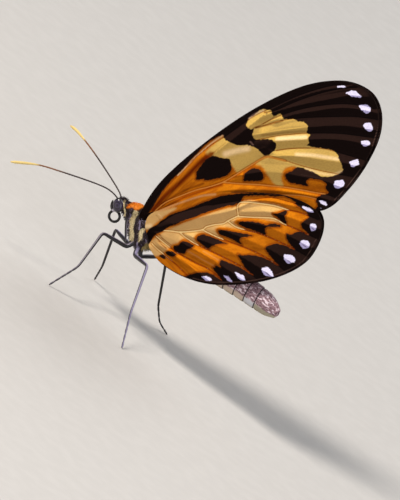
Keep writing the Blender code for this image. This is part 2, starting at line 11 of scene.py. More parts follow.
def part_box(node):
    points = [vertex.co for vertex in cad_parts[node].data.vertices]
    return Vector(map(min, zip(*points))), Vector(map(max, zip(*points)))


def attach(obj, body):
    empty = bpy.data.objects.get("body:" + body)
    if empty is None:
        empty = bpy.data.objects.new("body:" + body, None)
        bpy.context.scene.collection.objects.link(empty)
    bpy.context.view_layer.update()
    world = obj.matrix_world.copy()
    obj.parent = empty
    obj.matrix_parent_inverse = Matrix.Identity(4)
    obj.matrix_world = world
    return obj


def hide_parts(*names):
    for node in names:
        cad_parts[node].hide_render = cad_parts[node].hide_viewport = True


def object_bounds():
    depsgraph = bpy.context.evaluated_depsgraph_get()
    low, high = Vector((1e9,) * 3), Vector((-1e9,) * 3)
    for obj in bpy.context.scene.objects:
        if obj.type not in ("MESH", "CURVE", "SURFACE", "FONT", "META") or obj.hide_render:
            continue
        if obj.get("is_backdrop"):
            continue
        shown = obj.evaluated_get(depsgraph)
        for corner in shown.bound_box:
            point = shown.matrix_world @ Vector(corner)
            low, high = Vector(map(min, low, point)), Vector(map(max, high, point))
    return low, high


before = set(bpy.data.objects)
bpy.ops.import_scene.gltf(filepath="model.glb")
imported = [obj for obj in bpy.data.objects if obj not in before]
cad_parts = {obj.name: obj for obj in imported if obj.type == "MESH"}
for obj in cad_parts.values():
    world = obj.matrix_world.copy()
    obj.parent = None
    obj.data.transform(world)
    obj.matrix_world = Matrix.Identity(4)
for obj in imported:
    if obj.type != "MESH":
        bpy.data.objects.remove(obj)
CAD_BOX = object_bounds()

MM = 0.001
SMOOTH_ANGLE = math.radians(60)

# Wings: the outlines, veins and folds are (x, z) in the upright middle plane
NET_STEP = 0.15  # a wing scale and a half
SHEET_THICKNESS = 0.08
PLEAT_HEIGHT = 0.16
PLEAT_REACH = 0.06
UPHILL = (-0.62, 0.78)  # the way that the pleats' bright sides face
VEIN_RISE = 0.06
VEIN_WIDTH = 0.11
FORE_OUTLINE = [
    (-1.2, 13.0), (-2.1, 13.8), (-2.5, 19.0), (-1.15, 26.2), (1.5, 34.2), (5.0, 41.0),
    (8.7, 44.9), (12.4, 46.24), (15.2, 45.3), (17.25, 42.5), (18.2, 38.3), (18.25, 33.9),
    (17.3, 29.7), (13.1, 25.7), (8.2, 21.2), (3.6, 16.9), (0.4, 13.3),
]
FORE_STEM = [
    (-0.8, 14.4), (-0.3, 17.0), (0.9, 19.2), (2.0, 21.0), (3.1, 22.4), (4.2, 24.05), (4.9, 25.7),
    (5.4, 27.0), (6.1, 28.8), (6.7, 30.2), (7.2, 30.8), (8.0, 31.2), (9.3, 31.8),
]
FORE_BRANCH = [
    (4.2, 24.05), (6.2, 25.4), (8.3, 26.9), (9.7, 27.8), (11.2, 28.8), (13.3, 30.0), (15.2, 31.0),
    (16.6, 31.8), (18.1, 32.3),
]
FORE_LAST = [(-0.3, 14.8), (3.4, 18.6), (8.0, 24.0), (11.0, 27.2), (13.8, 29.4), (15.8, 30.4), (17.0, 30.9)]
FORE_PALE_VEINS = [FORE_STEM, FORE_BRANCH, FORE_LAST]
FORE_VEINS = FORE_PALE_VEINS + [
    [(-1.5, 14.6), (-1.75, 19.0), (-0.4, 26.0), (0.6, 28.8), (2.1, 33.4), (3.4, 36.0), (5.6, 40.1),
     (8.2, 43.7), (10.3, 45.6)],
    [(3.1, 35.0), (4.2, 36.4), (5.7, 39.1), (7.5, 41.8), (9.3, 44.0), (11.2, 45.8)],
    [(3.8, 33.7), (4.5, 35.1), (5.9, 37.4), (7.9, 39.9), (10.7, 42.6), (13.1, 44.2), (14.9, 45.0)],
    [(4.0, 33.5), (5.5, 35.6), (8.0, 38.1), (11.8, 41.3), (13.8, 42.8), (16.2, 44.2)],
    [(4.4, 31.4), (6.2, 33.5), (7.7, 35.0), (9.7, 36.8), (12.9, 39.3), (15.8, 41.1), (17.6, 42.2)],
    [(7.4, 32.0), (9.1, 33.7), (10.9, 35.2), (12.4, 36.3), (13.8, 37.0), (17.1, 38.4), (18.3, 38.9)],
    [(9.3, 31.8), (11.6, 32.7), (14.0, 33.8), (17.0, 35.4), (18.3, 36.1)],
]
FORE_FOLDS = [
    [(0.6, 25.0), (1.6, 28.6), (2.8, 33.0), (3.6, 35.8), (5.2, 39.0), (7.8, 42.6), (10.2, 45.0)],
    [(3.2, 34.4), (4.3, 36.2), (6.7, 39.3), (9.5, 42.5), (11.2, 44.4), (13.1, 45.6)],
    [(5.2, 35.1), (6.2, 37.0), (8.3, 39.4), (11.1, 42.2), (13.7, 43.9), (15.6, 44.8)],
    [(3.8, 31.8), (6.5, 34.7), (8.3, 36.5), (10.2, 38.3), (12.3, 40.1), (13.9, 41.2), (17.0, 43.0)],
    [(6.5, 32.9), (8.2, 34.4), (10.2, 36.1), (12.5, 38.0), (14.8, 39.5), (16.9, 40.5), (18.0, 41.0)],
    [(7.3, 30.9), (9.2, 32.5), (11.2, 33.9), (13.3, 35.1), (15.1, 36.2), (17.1, 37.2), (18.3, 37.8)],
    [(5.1, 25.8), (7.7, 28.6), (10.1, 30.3), (12.2, 31.4), (14.7, 32.8), (16.9, 33.6), (18.3, 34.1)],
    [(1.6, 18.4), (4.5, 22.6), (8.0, 25.8), (12.0, 28.6), (15.5, 30.6), (17.3, 31.4)],
]
HIND_OUTLINE = [
    (0.8, 12.0), (-0.35, 13.2), (-0.75, 14.65), (0.1, 16.4), (1.65, 19.0), (3.3, 21.4),
    (5.45, 23.45), (8.7, 26.0), (12.3, 28.3), (15.9, 29.4), (18.2, 28.9), (19.6, 26.6),
    (19.95, 22.9), (18.3, 19.2), (15.6, 15.9), (11.85, 12.75), (8.1, 11.0), (4.6, 10.5),
    (2.2, 11.05),
]
HIND_VEINS = [
    [(1.3, 13.6), (2.0, 14.2), (3.0, 14.9), (3.85, 15.4), (5.0, 16.4), (6.1, 17.55), (6.3, 18.2),
     (7.0, 19.1), (7.85, 19.95), (8.1, 20.6), (8.6, 21.6), (8.9, 22.0), (10.3, 23.0), (11.5, 23.9),
     (13.0, 24.9), (14.6, 25.2), (15.5, 25.5), (17.0, 25.9), (19.7, 26.6)],
    [(8.9, 22.0), (8.0, 23.0), (8.0, 23.7), (9.3, 24.7), (10.6, 25.5), (12.0, 26.3), (13.6, 26.95),
     (15.6, 27.9), (17.9, 28.6)],
    [(8.1, 20.6), (9.5, 20.7), (11.0, 21.3), (12.5, 22.0), (14.0, 22.5), (15.5, 22.9), (17.0, 23.3),
     (19.8, 23.8)],
    [(6.1, 17.55), (8.0, 17.95), (9.5, 18.4), (11.0, 18.9), (12.5, 19.4), (14.0, 19.8), (15.5, 20.1),
     (17.5, 20.3), (19.0, 20.3)],
    [(3.85, 15.4), (5.0, 15.35), (6.5, 15.5), (8.0, 15.85), (9.5, 16.2), (11.0, 16.55), (12.5, 16.9),
     (14.0, 17.1), (16.8, 17.1)],
    [(1.6, 13.0), (5.0, 13.0), (8.0, 13.45), (10.0, 13.95), (13.2, 14.0)],
    [(1.8, 11.8), (4.2, 11.7), (6.0, 11.65), (8.4, 11.4), (9.3, 11.4)],
    [(1.0, 14.6), (1.75, 16.6), (2.4, 17.7), (3.6, 19.3), (4.4, 20.4), (5.2, 21.1), (6.0, 22.0),
     (8.3, 24.4), (9.2, 25.2), (10.3, 26.3), (11.3, 27.1), (14.0, 28.3), (15.8, 29.2)],
]
HIND_FOLDS = [
    [(5.0, 14.5), (8.0, 15.0), (10.4, 15.35), (14.6, 15.8)],
    [(5.5, 15.9), (9.5, 17.2), (13.0, 18.1), (17.6, 18.7)],
    [(8.2, 19.2), (12.0, 20.4), (15.0, 21.2), (19.3, 21.9)],
    [(9.2, 21.5), (12.8, 23.4), (16.0, 24.3), (19.6, 25.1)],
    [(9.0, 22.9), (12.0, 25.2), (15.0, 26.5), (18.9, 27.7)],
    [(2.6, 15.8), (5.4, 19.3), (7.8, 22.2), (10.0, 25.6), (14.6, 28.2)],
    [(3.0, 12.4), (7.0, 12.6), (11.4, 12.8)],
]

# Forewing marks
FORE_BLACK = [
    [(-1.6, 12.6), (-1.6, 14.0), (-0.9, 15.0), (-0.3, 15.3), (0.0, 14.6), (0.0, 13.6), (0.5, 12.8)],
    [(-1.5, 13.4), (-1.5, 18.0), (-1.45, 20.0), (-1.15, 22.0), (-1.05, 24.0), (-0.85, 26.0),
     (-0.65, 27.0), (-0.25, 28.0), (0.35, 29.1), (0.7, 28.9), (1.2, 28.8), (1.9, 29.0), (2.6, 29.2),
     (3.1, 29.5), (3.6, 29.9), (4.0, 30.2), (4.6, 30.45), (5.3, 30.6), (6.0, 30.55), (6.6, 30.5),
     (7.0, 30.9), (7.2, 31.5), (7.3, 32.0), (7.1, 32.5), (6.9, 32.8), (6.4, 32.85), (5.7, 32.6),
     (5.2, 32.2), (4.8, 31.8), (4.4, 31.5), (4.0, 31.45), (3.7, 31.6), (3.5, 31.9), (3.35, 32.5),
     (3.15, 32.3), (2.9, 32.1), (2.4, 32.1), (2.1, 32.2), (2.0, 32.6), (1.9, 33.2), (2.2, 34.0),
     (2.6, 35.3), (3.2, 35.6), (3.7, 35.85), (4.1, 35.5), (4.6, 35.7), (4.95, 36.4), (5.6, 36.1),
     (6.2, 36.4), (6.8, 36.9), (7.2, 37.0), (7.7, 37.1), (8.0, 37.4), (8.5, 37.5), (8.9, 37.45),
     (9.15, 37.1), (9.3, 36.6), (9.6, 36.6), (9.85, 36.7), (10.0, 36.5), (9.95, 36.1), (10.3, 35.9),
     (10.45, 35.6), (10.4, 35.3), (11.0, 35.5), (11.6, 35.8), (12.3, 36.3), (13.0, 36.7),
     (13.6, 36.95), (14.2, 36.95), (14.7, 36.9), (15.0, 36.6), (15.6, 36.4), (16.0, 36.1),
     (16.35, 35.8), (16.3, 35.3), (16.1, 34.9), (15.9, 34.5), (15.6, 34.1), (15.2, 33.7),
     (14.6, 33.3), (14.2, 33.15), (13.7, 33.1), (13.0, 32.9), (12.4, 32.7), (11.8, 32.5),
     (11.2, 32.2), (11.0, 31.8), (10.9, 31.3), (10.6, 30.9), (10.4, 30.4), (10.9, 29.95),
     (11.6, 29.9), (12.3, 30.2), (13.0, 30.6), (13.6, 30.9), (13.8, 31.1), (13.4, 31.3),
     (13.3, 31.6), (13.4, 31.9), (14.0, 32.4), (14.8, 32.8), (15.3, 32.9), (15.7, 32.9),
     (15.9, 32.4), (16.6, 32.1), (16.5, 31.8), (16.1, 31.4), (15.9, 31.0), (15.8, 30.6),
     (15.9, 30.2), (16.3, 29.95), (16.6, 29.6), (16.8, 28.4), (22.0, 28.0), (22.0, 50.0),
     (-6.0, 50.0), (-6.0, 13.4)],
    [(0.5, 24.3), (0.55, 25.0), (0.75, 25.6), (1.0, 26.0), (1.4, 26.3), (1.9, 26.4), (2.5, 26.8),
     (3.0, 27.1), (3.3, 27.0), (3.6, 26.7), (4.0, 26.4), (4.2, 25.9), (4.1, 25.2), (3.8, 24.6),
     (3.3, 24.0), (2.8, 23.4), (2.3, 22.9), (2.0, 22.7), (1.9, 22.9), (1.7, 22.6), (1.4, 22.3),
     (1.1, 22.1), (0.95, 22.4), (0.6, 22.8), (0.5, 23.4)],
    [(5.9, 26.9), (6.0, 27.3), (6.2, 27.9), (6.5, 28.3), (7.0, 28.55), (7.5, 28.6), (8.0, 28.45),
     (8.3, 28.1), (8.3, 27.7), (8.0, 27.3), (7.5, 26.9), (7.0, 26.5), (6.6, 26.15), (6.3, 26.05),
     (6.15, 26.4)],
]
FORE_PALE = [
    [(-0.1, 25.9), (0.1, 27.2), (0.45, 28.7), (0.9, 29.0), (1.9, 29.3), (3.1, 30.0), (4.0, 30.6),
     (5.0, 30.9), (6.3, 30.8), (6.6, 30.2), (6.0, 28.6), (5.4, 27.1), (5.0, 26.3), (4.4, 26.5),
     (3.9, 26.6), (3.2, 26.9), (2.4, 26.6), (1.5, 26.2), (0.9, 25.9), (0.3, 25.6)],
    [(6.3, 28.9), (6.9, 29.1), (7.5, 29.1), (8.7, 28.7), (10.1, 28.3), (11.2, 28.8), (10.3, 29.6),
     (9.9, 30.6), (10.1, 31.3), (10.8, 32.2), (9.5, 32.2), (8.0, 31.6), (6.7, 30.6)],
    [(1.6, 32.6), (4.0, 31.2), (7.2, 30.6), (10.4, 31.9), (15.4, 33.2), (16.9, 35.8), (14.5, 37.5),
     (8.5, 38.2), (2.0, 36.6)],
]
FORE_WHITE = [
    [(8.95, 44.15), (9.2, 44.5), (9.6, 44.8), (10.0, 44.95), (9.8, 44.6), (9.4, 44.3), (9.1, 44.1)],
    [(10.45, 44.2), (10.6, 44.6), (10.9, 45.0), (11.4, 45.3), (11.8, 45.25), (12.5, 45.25),
     (12.4, 44.95), (12.0, 44.7), (11.5, 44.4), (11.1, 44.3)],
    [(12.8, 43.95), (13.0, 44.2), (13.3, 44.5), (13.8, 44.8), (14.3, 44.75), (14.6, 44.5),
     (14.65, 44.2), (14.4, 43.85), (13.9, 43.75), (13.4, 43.75)],
    [(14.9, 42.3), (15.0, 42.7), (15.3, 43.05), (15.6, 43.15), (16.0, 43.0), (16.3, 42.7),
     (16.3, 42.3), (16.0, 42.1), (15.6, 42.05), (15.2, 42.15)],
    [(16.05, 40.4), (16.2, 40.7), (16.6, 41.0), (17.0, 41.05), (17.3, 40.85), (17.1, 40.5),
     (16.8, 40.15), (16.4, 40.1)],
    [(16.35, 37.2), (16.6, 37.7), (16.8, 38.0), (17.1, 38.2), (17.4, 38.0), (17.7, 37.8),
     (17.5, 37.4), (17.3, 37.0), (17.0, 36.85), (16.7, 37.05)],
    [(16.4, 33.9), (16.7, 34.3), (17.0, 34.7), (17.3, 34.75), (17.7, 34.5), (17.75, 34.1),
     (17.6, 33.8), (17.5, 33.5), (17.1, 33.25), (16.6, 33.35)],
    [(16.15, 30.4), (16.4, 30.7), (16.9, 30.9), (17.4, 30.85), (17.5, 30.6), (17.1, 30.4),
     (16.6, 30.35)],
    [(16.8, 29.65), (17.0, 29.85), (17.2, 29.85), (17.1, 29.7)],
]
# Fine lines: points, half width, and strength of the lightening (below zero: darkening). Besides pale and
# dark scale lines, they hold painted shade at the forewing's base and painted highlights and painted shade
# on the pleats.
FORE_LINES = [
    ([(-1.0, 15.3), (-0.8, 18.0), (-0.2, 21.0), (0.1, 24.0), (0.6, 26.0)], 0.5, -0.85),
    ([(-0.1, 15.8), (1.2, 19.0), (3.0, 21.8), (4.3, 23.7)], 0.3, -0.7),
    ([(-0.4, 16.6), (0.6, 19.6), (2.2, 22.3)], 0.2, -0.6),
    ([(0.4, 16.2), (2.4, 19.4), (4.6, 22.2)], 0.2, 0.3),
    ([(-1.2, 21.0), (-0.9, 24.0), (-0.6, 25.5), (-0.3, 27.0), (0.1, 28.3), (0.4, 29.1)], 0.13, 0.6),
    ([(1.9, 33.1), (2.2, 34.1), (2.8, 35.2)], 0.2, 0.7),
    ([(3.9, 30.75), (4.2, 30.75), (4.5, 30.65)], 0.1, 0.8),
    ([(0.7, 26.0), (1.3, 28.5)], 0.12, -0.45),
    ([(2.2, 27.3), (3.0, 28.4), (4.2, 29.8)], 0.5, 0.75),
    ([(6.6, 33.4), (7.4, 34.1), (8.5, 35.1), (9.6, 36.05)], 0.33, 0.85),
    ([(10.0, 33.4), (11.8, 34.7), (13.5, 35.7), (14.9, 36.5)], 0.3, 0.7),
    ([(12.2, 32.7), (14.2, 33.5), (15.6, 34.4), (16.3, 35.5)], 0.28, 0.5),
    ([(3.1, 32.4), (3.8, 33.6), (4.3, 34.8), (4.6, 35.8)], 0.12, -0.6),
    ([(3.4, 32.7), (4.3, 33.8), (5.2, 35.0), (5.8, 35.8)], 0.12, -0.7),
    ([(4.7, 32.5), (6.0, 33.7), (7.3, 35.0), (9.1, 36.6)], 0.25, -0.45),
    ([(7.5, 32.1), (8.6, 33.3), (9.9, 34.4), (10.9, 35.2)], 0.12, -0.5),
    ([(12.0, 31.6), (13.5, 32.4), (15.0, 33.2)], 0.1, 0.3),
    ([(15.3, 45.4), (16.5, 43.8), (17.4, 41.5), (18.1, 39.5), (18.25, 37.0), (18.15, 34.0),
      (17.9, 31.9)], 0.1, 0.5),
]

# Hindwing marks
HIND_BLACK = [
    [(0.3, 12.6), (0.4, 13.4), (0.85, 14.3), (0.95, 15.0), (1.2, 15.6), (1.5, 16.5), (2.0, 17.3),
     (2.5, 18.0), (3.0, 18.8), (3.4, 19.5), (4.0, 20.6), (4.4, 21.2), (5.1, 22.4), (5.5, 22.9),
     (6.0, 23.4), (6.5, 23.9), (7.0, 24.4), (8.0, 25.3), (8.7, 25.9), (9.4, 26.4), (10.0, 26.8),
     (10.6, 27.2), (11.2, 27.55), (12.0, 28.35), (13.0, 28.8), (14.0, 29.3), (14.0, 28.55),
     (13.0, 28.4), (12.0, 27.95), (11.3, 27.3), (10.6, 26.9), (10.0, 26.5), (9.5, 26.1), (8.6, 25.3),
     (8.2, 25.0), (7.9, 24.7), (7.85, 24.3), (7.95, 23.9), (7.85, 23.5), (7.6, 23.1), (7.3, 22.6),
     (6.9, 22.3), (6.2, 21.3), (5.5, 20.3), (4.9, 19.4), (4.4, 18.5), (3.9, 17.7), (3.3, 16.8),
     (2.85, 15.9), (2.4, 15.2), (2.15, 14.6), (1.95, 13.9), (1.6, 13.3), (1.4, 12.4), (1.5, 11.2),
     (0.4, 11.2)],
    [(3.55, 11.15), (3.75, 11.5), (4.0, 11.65), (4.45, 11.5), (4.5, 11.3), (4.2, 11.15), (3.8, 11.1)],
    [(4.05, 12.05), (4.1, 12.35), (4.4, 12.6), (4.9, 12.8), (5.3, 12.75), (5.35, 12.55), (5.1, 12.2),
     (4.7, 12.0), (4.3, 11.95)],
    [(4.35, 13.45), (4.6, 13.7), (4.85, 13.9), (4.85, 14.4), (5.0, 14.75), (5.5, 15.0), (6.1, 15.15),
     (6.5, 15.2), (6.55, 14.95), (6.3, 14.5), (6.1, 14.2), (6.15, 13.8), (6.1, 13.5), (5.6, 13.2),
     (5.0, 13.05), (4.6, 13.15)],
    [(6.15, 16.35), (6.3, 16.75), (6.6, 17.15), (7.1, 17.35), (7.8, 17.6), (8.6, 17.85), (9.3, 18.0),
     (9.9, 18.15), (9.2, 17.6), (8.8, 17.15), (8.5, 16.7), (8.4, 16.2), (8.0, 16.0), (7.2, 16.0),
     (6.5, 16.05)],
    [(7.85, 18.8), (8.1, 19.1), (8.7, 19.5), (9.4, 19.85), (10.2, 20.3), (10.9, 20.7), (11.6, 21.0),
     (12.0, 21.2), (11.4, 20.5), (10.9, 20.0), (11.0, 19.6), (11.6, 19.3), (10.6, 19.15), (9.8, 19.0),
     (9.0, 18.75), (8.4, 18.55)],
    [(9.4, 21.35), (9.7, 21.8), (10.2, 22.2), (11.0, 22.8), (12.0, 23.3), (12.7, 23.6), (13.3, 24.3),
     (14.2, 24.75), (14.3, 24.5), (13.4, 23.8), (12.9, 23.4), (12.9, 22.9), (13.4, 22.4),
     (12.4, 22.1), (11.0, 21.6), (10.0, 21.3)],
    [(12.4, 25.3), (12.9, 25.6), (13.1, 26.0), (13.4, 26.5), (13.75, 26.8), (13.95, 26.6),
     (14.0, 26.0), (14.5, 25.7), (14.7, 25.35), (14.0, 25.25), (13.2, 25.3)],
    [(8.25, 11.4), (8.5, 11.8), (8.7, 12.1), (9.0, 12.5), (9.4, 12.9), (9.8, 13.2), (10.2, 13.5),
     (10.7, 13.65), (11.3, 13.8), (12.4, 13.95), (11.5, 14.15), (10.9, 14.3), (10.35, 14.45),
     (10.6, 14.7), (10.5, 15.0), (11.3, 15.2), (10.8, 15.45), (10.65, 15.9), (10.8, 16.1),
     (11.8, 16.4), (13.2, 16.8), (15.5, 17.15), (14.0, 17.2), (13.4, 17.4), (12.7, 17.7),
     (12.0, 17.95), (12.1, 18.1), (12.7, 18.4), (13.1, 18.8), (13.7, 19.2), (14.5, 19.6),
     (15.5, 19.95), (17.5, 20.3), (16.5, 20.4), (15.6, 20.6), (14.9, 20.8), (14.5, 21.0),
     (14.5, 21.4), (14.8, 21.9), (15.2, 22.4), (15.8, 22.7), (16.5, 23.0), (17.9, 23.4),
     (17.0, 23.5), (16.4, 23.7), (15.9, 23.95), (15.6, 24.35), (16.1, 24.7), (16.4, 25.1),
     (16.6, 25.5), (17.0, 25.85), (18.3, 26.2), (17.5, 26.3), (16.7, 26.4), (16.4, 26.8),
     (16.4, 27.1), (16.6, 27.6), (16.7, 28.0), (16.0, 28.4), (15.0, 28.3), (14.3, 28.3),
     (14.0, 28.6), (14.0, 32.0), (24.0, 32.0), (24.0, 9.0), (8.25, 9.0)],
]
HIND_PALE = [
    [(1.5, 12.0), (2.1, 13.9), (2.45, 14.8), (3.0, 15.7), (3.6, 16.8), (4.3, 17.9), (5.1, 19.1),
     (5.9, 20.4), (6.8, 21.6), (7.5, 22.5), (8.0, 23.3), (8.1, 24.0), (9.0, 24.9), (10.0, 25.3),
     (11.0, 26.0), (12.4, 26.7), (13.7, 26.95), (13.1, 26.4), (12.4, 25.5), (13.0, 25.0),
     (14.6, 25.2), (13.0, 24.5), (12.0, 24.0), (10.2, 22.9), (9.0, 21.7), (9.0, 20.9), (10.5, 21.2),
     (9.5, 20.5), (8.5, 19.9), (7.6, 19.2), (7.6, 18.5), (9.0, 18.3), (7.0, 17.6), (6.0, 17.0),
     (5.9, 16.0), (6.8, 15.6), (4.9, 15.2), (4.6, 14.2), (4.1, 13.5), (4.0, 12.6), (3.8, 11.9),
     (3.5, 11.1), (2.6, 10.4), (1.2, 10.8)],
    [(-1.2, 12.6), (0.2, 12.9), (0.5, 13.6), (0.6, 14.3), (0.8, 15.0), (1.0, 16.0), (1.6, 17.4),
     (1.4, 17.7), (0.2, 16.2), (-1.2, 15.2), (-1.6, 14.0)],
]
HIND_WHITE = [
    [(15.0, 28.6), (15.5, 28.95), (16.2, 29.15), (16.8, 29.0), (16.5, 28.75), (16.0, 28.5),
     (15.3, 28.5)],
    [(17.4, 27.4), (17.55, 27.75), (17.9, 27.95), (18.3, 27.75), (18.45, 27.4), (18.35, 27.0),
     (18.1, 26.85), (17.7, 27.0)],
    [(17.75, 24.9), (17.9, 25.15), (18.4, 25.45), (18.9, 25.4), (19.15, 25.1), (19.0, 24.65),
     (18.7, 24.3), (18.3, 24.25), (17.8, 24.45)],
    [(17.0, 22.0), (17.4, 22.3), (17.8, 22.5), (18.2, 22.6), (18.7, 22.4), (18.75, 22.0),
     (18.4, 21.6), (18.0, 21.3), (17.5, 21.4), (17.15, 21.7)],
    [(15.75, 18.75), (16.1, 19.1), (16.7, 19.25), (17.3, 19.1), (17.7, 18.7), (17.2, 18.4),
     (16.7, 18.15), (16.2, 18.25), (15.8, 18.5)],
    [(13.1, 15.95), (13.5, 16.1), (13.9, 16.25), (14.3, 16.3), (14.7, 16.2), (15.0, 15.9),
     (14.6, 15.65), (14.0, 15.55), (13.6, 15.75)],
    [(12.1, 14.6), (12.5, 14.8), (12.8, 14.95), (13.3, 14.85), (13.7, 14.7), (13.5, 14.5),
     (13.1, 14.35), (12.6, 14.45)],
    [(9.85, 12.55), (10.1, 12.8), (10.3, 13.05), (10.8, 13.2), (11.3, 13.15), (11.2, 12.85),
     (10.9, 12.6), (10.5, 12.5), (10.1, 12.5)],
]
# Fine lines as on the forewing: scale lines, painted highlights along the front edge and at the root, and
# painted shade across the white spots
HIND_LINES = [
    ([(0.1, 15.6), (0.5, 15.55), (0.9, 15.45)], 0.1, 0.5),
    ([(0.0, 15.25), (0.45, 15.2), (0.85, 15.1)], 0.1, -0.5),
    ([(-0.1, 13.2), (0.2, 13.6)], 0.35, 0.8),
    ([(2.0, 12.9), (3.1, 12.3), (4.3, 12.5)], 0.9, -0.3),
    ([(1.6, 13.6), (2.8, 13.3), (4.2, 13.4)], 0.08, -0.6),
    ([(1.5, 13.2), (2.6, 12.7), (3.8, 12.6)], 0.08, -0.6),
    ([(0.1, 16.2), (1.5, 18.5), (3.2, 21.0), (4.6, 22.4)], 0.22, 0.35),
    ([(1.75, 16.6), (2.4, 17.7), (3.6, 19.3), (4.4, 20.4), (5.2, 21.1), (6.0, 22.0)], 0.1, 0.22),
    ([(6.3, 14.1), (8.3, 14.4), (10.3, 14.75)], 0.22, 0.22),
    ([(8.0, 15.4), (9.2, 15.6), (10.5, 15.8)], 0.2, 0.22),
    ([(6.3, 13.6), (8.3, 14.0), (10.4, 14.4)], 0.12, -0.4),
    ([(6.4, 14.6), (8.2, 15.0), (10.0, 15.35)], 0.12, -0.4),
    ([(17.6, 27.1), (18.4, 27.25)], 0.06, -0.5),
    ([(17.7, 24.55), (18.9, 24.7)], 0.06, -0.5),
    ([(17.1, 21.75), (18.6, 21.7)], 0.06, -0.5),
    ([(15.9, 18.45), (17.4, 18.6)], 0.06, -0.5),
    ([(19.25, 26.4), (19.6, 23.0), (18.0, 19.4), (15.3, 16.1), (11.6, 13.0), (9.0, 11.6)], 0.1, 0.42),
]

# How far each wing's middle surface lies from the middle plane: near its tip, and more at its root.
# A pair named SPAN holds the two distances between which something fades in or out.
FORE_ROOT = (-0.9, 13.2)
HIND_ROOT = (0.9, 12.1)
FORE_TIP_OFFSET = 0.4
FORE_ROOT_FLARE = 1.15
FORE_FLARE_SPAN = (1.5, 14.0)
FORE_ROOT_TUCK = 0.45
FORE_TUCK_SPAN = (0.0, 1.6)
HIND_CLEARANCE = 0.95
HIND_ROOT_TUCK = 0.75
HIND_TUCK_SPAN = (0.0, 1.5)
BODY_CLEARANCE = 1.35
BODY_BULGE = 0.6
THORAX_BULGE = 0.25
THORAX_END_SPAN = (4.0, 8.0)
BULGE_HEIGHT_SPAN = (1.5, 7.0)
CLEARANCE_BLEND = 0.1
ABDOMEN_LINE = ((3.0, 12.2), (21.0, 15.2))

# Where the wings' relief and their dark edge begin, from the rim or from the root
RIM_PLEAT_SPAN = (0.0, 0.6)
RIM_RIDGE_SPAN = (0.0, 0.3)
ROOT_PLEAT_SPAN = (1.0, 3.0)
DARK_EDGE_SPAN = (2.5, 4.0)
EDGING_SPAN = (2.5, 5.0)
EDGING_HELD_BACK = 0.35
VEIN_FADE_SPAN = (-0.5, 0.1)
ROW_REACH = 12  # how far from the root the scale rows have their set width

# "vein_fade" is how much thinner the pale veins get outside the pale marks. "bare_turn" is the angle
# from upright, in radians, up to which a wing's edge has no dark line.
WINGS = {
    "forewing": {
        "outline": FORE_OUTLINE, "veins": FORE_VEINS, "pale_veins": FORE_PALE_VEINS, "vein_fade": 0.0,
        "folds": FORE_FOLDS, "black": FORE_BLACK, "pale": FORE_PALE, "white": FORE_WHITE,
        "lines": FORE_LINES, "root": FORE_ROOT, "bare_turn": -2.0, "right_shift": (0.15, 0.12),
    },
    "hindwing": {
        "outline": HIND_OUTLINE, "veins": HIND_VEINS, "pale_veins": HIND_VEINS[:-1], "vein_fade": 0.07,
        "folds": HIND_FOLDS, "black": HIND_BLACK, "pale": HIND_PALE, "white": HIND_WHITE,
        "lines": HIND_LINES, "root": HIND_ROOT, "bare_turn": 0.36, "right_shift": (-0.45, -0.3),
    },
}

# Trunk: stations of (x, z, half height, half width)
COAT_DEPTH = 0.12
THORAX = [
    (-3.4, 12.65, 0.5, 0.6), (-2.7, 12.6, 1.25, 1.15), (-1.7, 12.35, 2.0, 1.5),
    (-0.7, 12.05, 2.55, 1.7), (0.2, 11.95, 2.6, 1.7), (1.0, 12.0, 2.0, 1.55),
    (1.8, 12.05, 1.4, 1.3), (2.7, 12.1, 0.8, 0.8),
]
PROTHORAX = [(-4.9, 13.1, 0.7, 0.7), (-4.2, 12.85, 1.0, 1.0), (-3.3, 12.65, 1.15, 1.1),
             (-2.7, 12.6, 1.0, 1.0)]
COLLAR = [(-4.6, 13.25, 0.25, 0.6), (-4.1, 13.3, 0.6, 1.15), (-3.4, 13.45, 0.9, 1.35),
          (-2.7, 13.6, 0.95, 1.35), (-2.2, 13.55, 0.45, 1.0)]
WAIST = [(1.2, 12.0, 1.0, 0.9), (2.4, 12.0, 0.85, 0.8), (4.2, 12.4, 1.0, 0.95)]
ABDOMEN = [
    (2.7, 12.0, 0.9, 0.85), (5.8, 12.85, 1.4, 1.25), (9.0, 13.65, 1.65, 1.35),
    (12.0, 14.2, 1.75, 1.4), (15.0, 14.6, 1.75, 1.35), (18.0, 14.8, 1.65, 1.2),
    (19.5, 14.75, 1.4, 1.05), (20.8, 14.65, 0.8, 0.65),
]
SEGMENT_LENGTH = 1.63
FIRST_JOINT = 2.89
LAST_JOINT = 9
JOINT_LEAN = 0.13
JOINT_WIDTH = 0.07
JOINT_DEPTH = 0.08
SEGMENT_FLARE = 0.03
SKIN_VOXEL = 0.1
# The coat: stations, tufts, their length, the way they are combed, and where they start in the unwrap
COAT_AREAS = [
    (THORAX, 3400, 0.45, (0.55, -0.5), 0.0), (COLLAR, 1700, 0.34, (0.9, 0.0), 0.25),
    (PROTHORAX, 700, 0.4, (0.5, -0.6), 0.5),
]
HEAD_TUFTS = 900
HEAD_TUFT_LENGTH = 0.5
TUFT_SIZES = (0.5, 1.1)  # least and most, as shares of the length
TUFT_SWAY = 0.25
TUFT_RADII = (0.02, 0.035)
TUFT_ROOT_REACH = 0.35
TUFT_PATCH = 0.003  # a tuft's side in the unwrap

